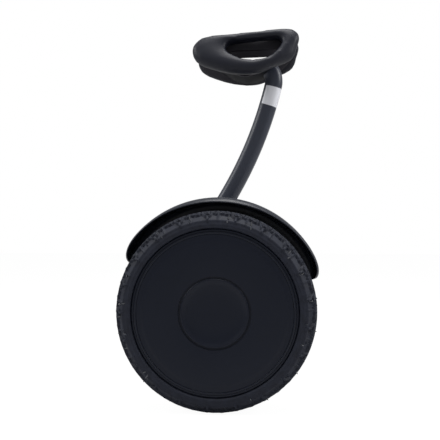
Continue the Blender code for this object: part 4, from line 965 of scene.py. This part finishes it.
def lens_shell(signs, near, far, low, high, corner, depth, bulge, flute, thickness):
    """Lens in the bowed wall, as sections along Y, no thicker than given, no deeper than its seat.

    Each is as high as the rounded outline leaves it, and its front stands out of the wall by
    bulge (0.4 + 0.6 crown) - 1.2 |v|^6 - flute |cos(pi y / 3.4)|, with v from -1 to 1 over the
    height.
    """
    ends = corner * (1.0 - np.cos(np.linspace(0.0, QUARTER, 8)))
    y = np.hstack([near + ends, np.arange(near + corner + 0.4, far - corner, 0.4), far - ends[::-1]])
    into = held(1.0 - np.minimum(y - near, far - y) / corner)
    half = 0.5 * (high - low) - corner * (1.0 - np.sqrt(1.0 - into ** 2))
    v = np.sin(np.linspace(-QUARTER, QUARTER, 13))[None, :]
    crown = 1.0 - ((y - 0.5 * (near + far)) / (0.5 * (far - near))) ** 2
    flat = 1.0 - np.abs(v) ** 6
    front = ((half_length(y) + bulge * (0.4 + 0.6 * crown))[:, None] - 1.2 * (1.0 - flat)
             - into[:, None] ** 4)
    front = front - flute * np.abs(np.cos(math.pi * y / 3.4))[:, None] * flat
    height = 0.5 * (high + low) + half[:, None] * v
    long = np.broadcast_to(y[:, None], front.shape)
    back = np.maximum(front - thickness, depth)
    rings = [np.stack([x, long, height], -1) for x in (front, back)]
    return loft(np.hstack([rings[0], rings[1][:, ::-1]]) * [*signs, 1.0])


def trough_shell():
    """Shallow trough behind the headlight's lens: depth 2.4 (1 - v^2) sqrt(1 - u^4), with v over
    its height and u over its length."""
    y, z = np.meshgrid(np.arange(-40.5, 40.6, 0.75), np.linspace(-29.8, -15.2, 25), indexing="ij")
    over_height = np.maximum(1.0 - ((z - TROUGH_Z) / TROUGH_HALF) ** 2, 0.0)
    over_length = np.sqrt(np.maximum(1.0 - (y / TROUGH_LENGTH) ** 4, 0.0))
    front = np.stack([TROUGH_DEPTH * over_height * over_length + TROUGH_X, y, z], -1)
    back = front[:, ::-1] + [0.5, 0.0, 0.0]
    return loft(np.hstack([front, back]))


def make_lenses():
    """The headlight's lens over a plain trough, and a fluted red lens at each rear corner."""
    piece("headlight_clear_lens", [lens_shell((-1.0, 1.0), *HEADLIGHT)], BODY, CLEAR_LENS,
          "chassis", ("headlight_lens",))
    piece("headlight_reflector", [trough_shell()], BODY, METALLISED, "chassis")
    for side, sign in SIDES:
        piece(f"tail_lens_{side}", [lens_shell((1.0, sign), *TAIL_LIGHT)], BODY, RED_LENS,
              "chassis", (f"tail_light_{side}",))


def make_screws():
    """Eight pan-head screws in the lid under the battery."""
    heads = [moved_to(spun(SCREW_HEAD, 24), shifted(x, y, LID_Z) @ turned(-90.0, "X"))
             for x, y in SCREW_PLACES]
    piece("lid_screws", heads, BODY, STEEL, "chassis")


# Kept solids, where one name can stand for a left and right pair, and eased solids

KEPT_SOLIDS = {
    HUB_PAINT: "hub_shell",
    CAST_ALLOY: "motor_end_cover heat_sink steering_base",
    STEEL: "axle_shaft inner_bearing outer_bearing pivot_pin clamp_bolt",
    COPPER: "stator",
    NICKEL: "magnet_ring",
    LAMINATE: "control_board headlight_board foot_sensor",
    SLEEVE: "battery_pack",
    NYLON: "battery_case charge_socket",
    MAT_RUBBER: "centring_rubber",
    SMOKED_LENS: "display_window",
}
EASED_SOLIDS = (
    ("frame_shell", "frame_casting", 1.2, FRAME_PAINT),
    ("underside_lid", "battery_lid", 1.0, FRAME_PAINT),
    ("axle_bridge_left", "axle_clamp_left", 0.8, CAST_ALLOY),
    ("axle_bridge_right", "axle_clamp_right", 0.8, CAST_ALLOY),
    ("split_collar", "clamp_collar", 0.5, NYLON),
    ("cam_lever", "clamp_lever", 0.5, NYLON),
    ("rocking_post", "steering_post", 0.6, FRAME_PAINT),
    ("slot_shield", "dust_shield", 0.5, NYLON),
    ("push_button", "power_button", 0.4, SATIN_ABS),
    ("socket_flap", "charge_socket_cap", 0.4, MAT_RUBBER),
)


def make_rest():
    for material, names in KEPT_SOLIDS.items():
        for name in names.split():
            for node in [name] if name in NODES else [f"{name}_{side}" for side, sign in SIDES]:
                NODES[node].data.materials.clear()
                NODES[node].data.materials.append(material)
    for name, node, width, material in EASED_SOLIDS:
        eased(name, node, width, material)


# Camera, floor and light

WHITE = (1, 1, 1, 1)
FLOOR_SEEN, MIRRORED = 0.86, 0.25
LAMPS = (("overhead", (0.1, -0.15, 1.7), (0, 0, 0.3), 0.9, 21.0),
         ("rear_right", (1.4, -0.2, 1.0), (0, 0, 0.3), 0.7, 12.0),
         ("upper_left", (-1.3, -0.28, 1.1), (0, 0, 0.2), 0.8, 11.0))


def make_camera():
    """Level camera a little above the axle, on the left of the scooter."""
    lens = bpy.data.cameras.new("camera")
    lens.lens = 68.73
    lens.sensor_width = 36.0
    lens.shift_y = 0.013
    view = placed("camera", lens)
    view.location = (0.095, -1.338, 0.242)
    view.rotation_euler = (math.radians(90.0), 0.0, math.radians(4.7))
    bpy.context.scene.camera = view


def emptied(owner):
    """The node tree of a world or a material, with nothing in it."""
    owner.use_nodes = True
    owner.node_tree.nodes.clear()
    return owner.node_tree


def seen_white(tree, dim, bright, keep, mirrored):
    """Mix of a lit shader and a white one: the camera and clear pieces see the share keep of the
    white one, and reflections a smaller share."""
    path = add_node(tree, "LightPath", {})
    direct = add_node(tree, "Math", {"operation": "MAXIMUM"},
                      {0: path.outputs["Is Camera Ray"], 1: path.outputs["Is Transmission Ray"]})
    seen = add_node(tree, "Math", {"operation": "MULTIPLY", 1: keep}, {0: direct.outputs[0]})
    glossy = add_node(tree, "Math", {"operation": "MULTIPLY", 1: mirrored},
                      {0: path.outputs["Is Glossy Ray"]})
    share = add_node(tree, "Math", {"operation": "MAXIMUM"}, {0: seen.outputs[0], 1: glossy.outputs[0]})
    return add_node(tree, "MixShader", {}, {0: share.outputs[0], 1: dim, 2: bright})


def make_stage():
    """A white studio: a dim world and a pale floor that the camera sees as nearly white."""
    world = bpy.data.worlds.new("studio")
    bpy.context.scene.world = world
    tree = emptied(world)
    dim = add_node(tree, "Background", {"Color": WHITE, "Strength": 0.3})
    bright = add_node(tree, "Background", {"Color": WHITE, "Strength": 1.0})
    both = seen_white(tree, dim.outputs[0], bright.outputs[0], 1.0, MIRRORED)
    add_node(tree, "OutputWorld", {}, {"Surface": both.outputs[0]})
    floor_paint = bpy.data.materials.new("studio_floor")
    tree = emptied(floor_paint)
    lit = add_node(tree, "BsdfDiffuse", {"Color": colour("#d0d0d0")})
    white = add_node(tree, "Emission", {"Color": WHITE, "Strength": 1.12})
    both = seen_white(tree, lit.outputs[0], white.outputs[0], FLOOR_SEEN, MIRRORED)
    add_node(tree, "OutputMaterial", {}, {"Surface": both.outputs[0]})
    mesh = bpy.data.meshes.new("studio_floor")
    mesh.from_pydata([(-6, -6, 0), (6, -6, 0), (6, 6, 0), (-6, 6, 0)], [], [(0, 1, 2, 3)])
    mesh.materials.append(floor_paint)
    floor = placed("studio_floor", mesh)


def make_lamps():
    """A soft lamp overhead, one behind on the right, and a weaker one on the left."""
    for name, place, aim, size, power in LAMPS:
        lamp = bpy.data.lights.new(name, "AREA")
        lamp.shape = "SQUARE"
        lamp.size = size
        lamp.energy = power
        obj = placed(name, lamp)
        obj.location = place
        obj.rotation_euler = (Vector(aim) - Vector(place)).to_track_quat("-Z", "Y").to_euler()


make_camera()
make_stage()
make_lamps()
make_wheels()
make_mudguards()
make_bar()
make_label()
make_pads()
make_yoke()
make_deck()
make_bezel()
make_mats()
make_lenses()
make_screws()
make_rest()
bpy.context.scene.view_settings.view_transform = "Standard"
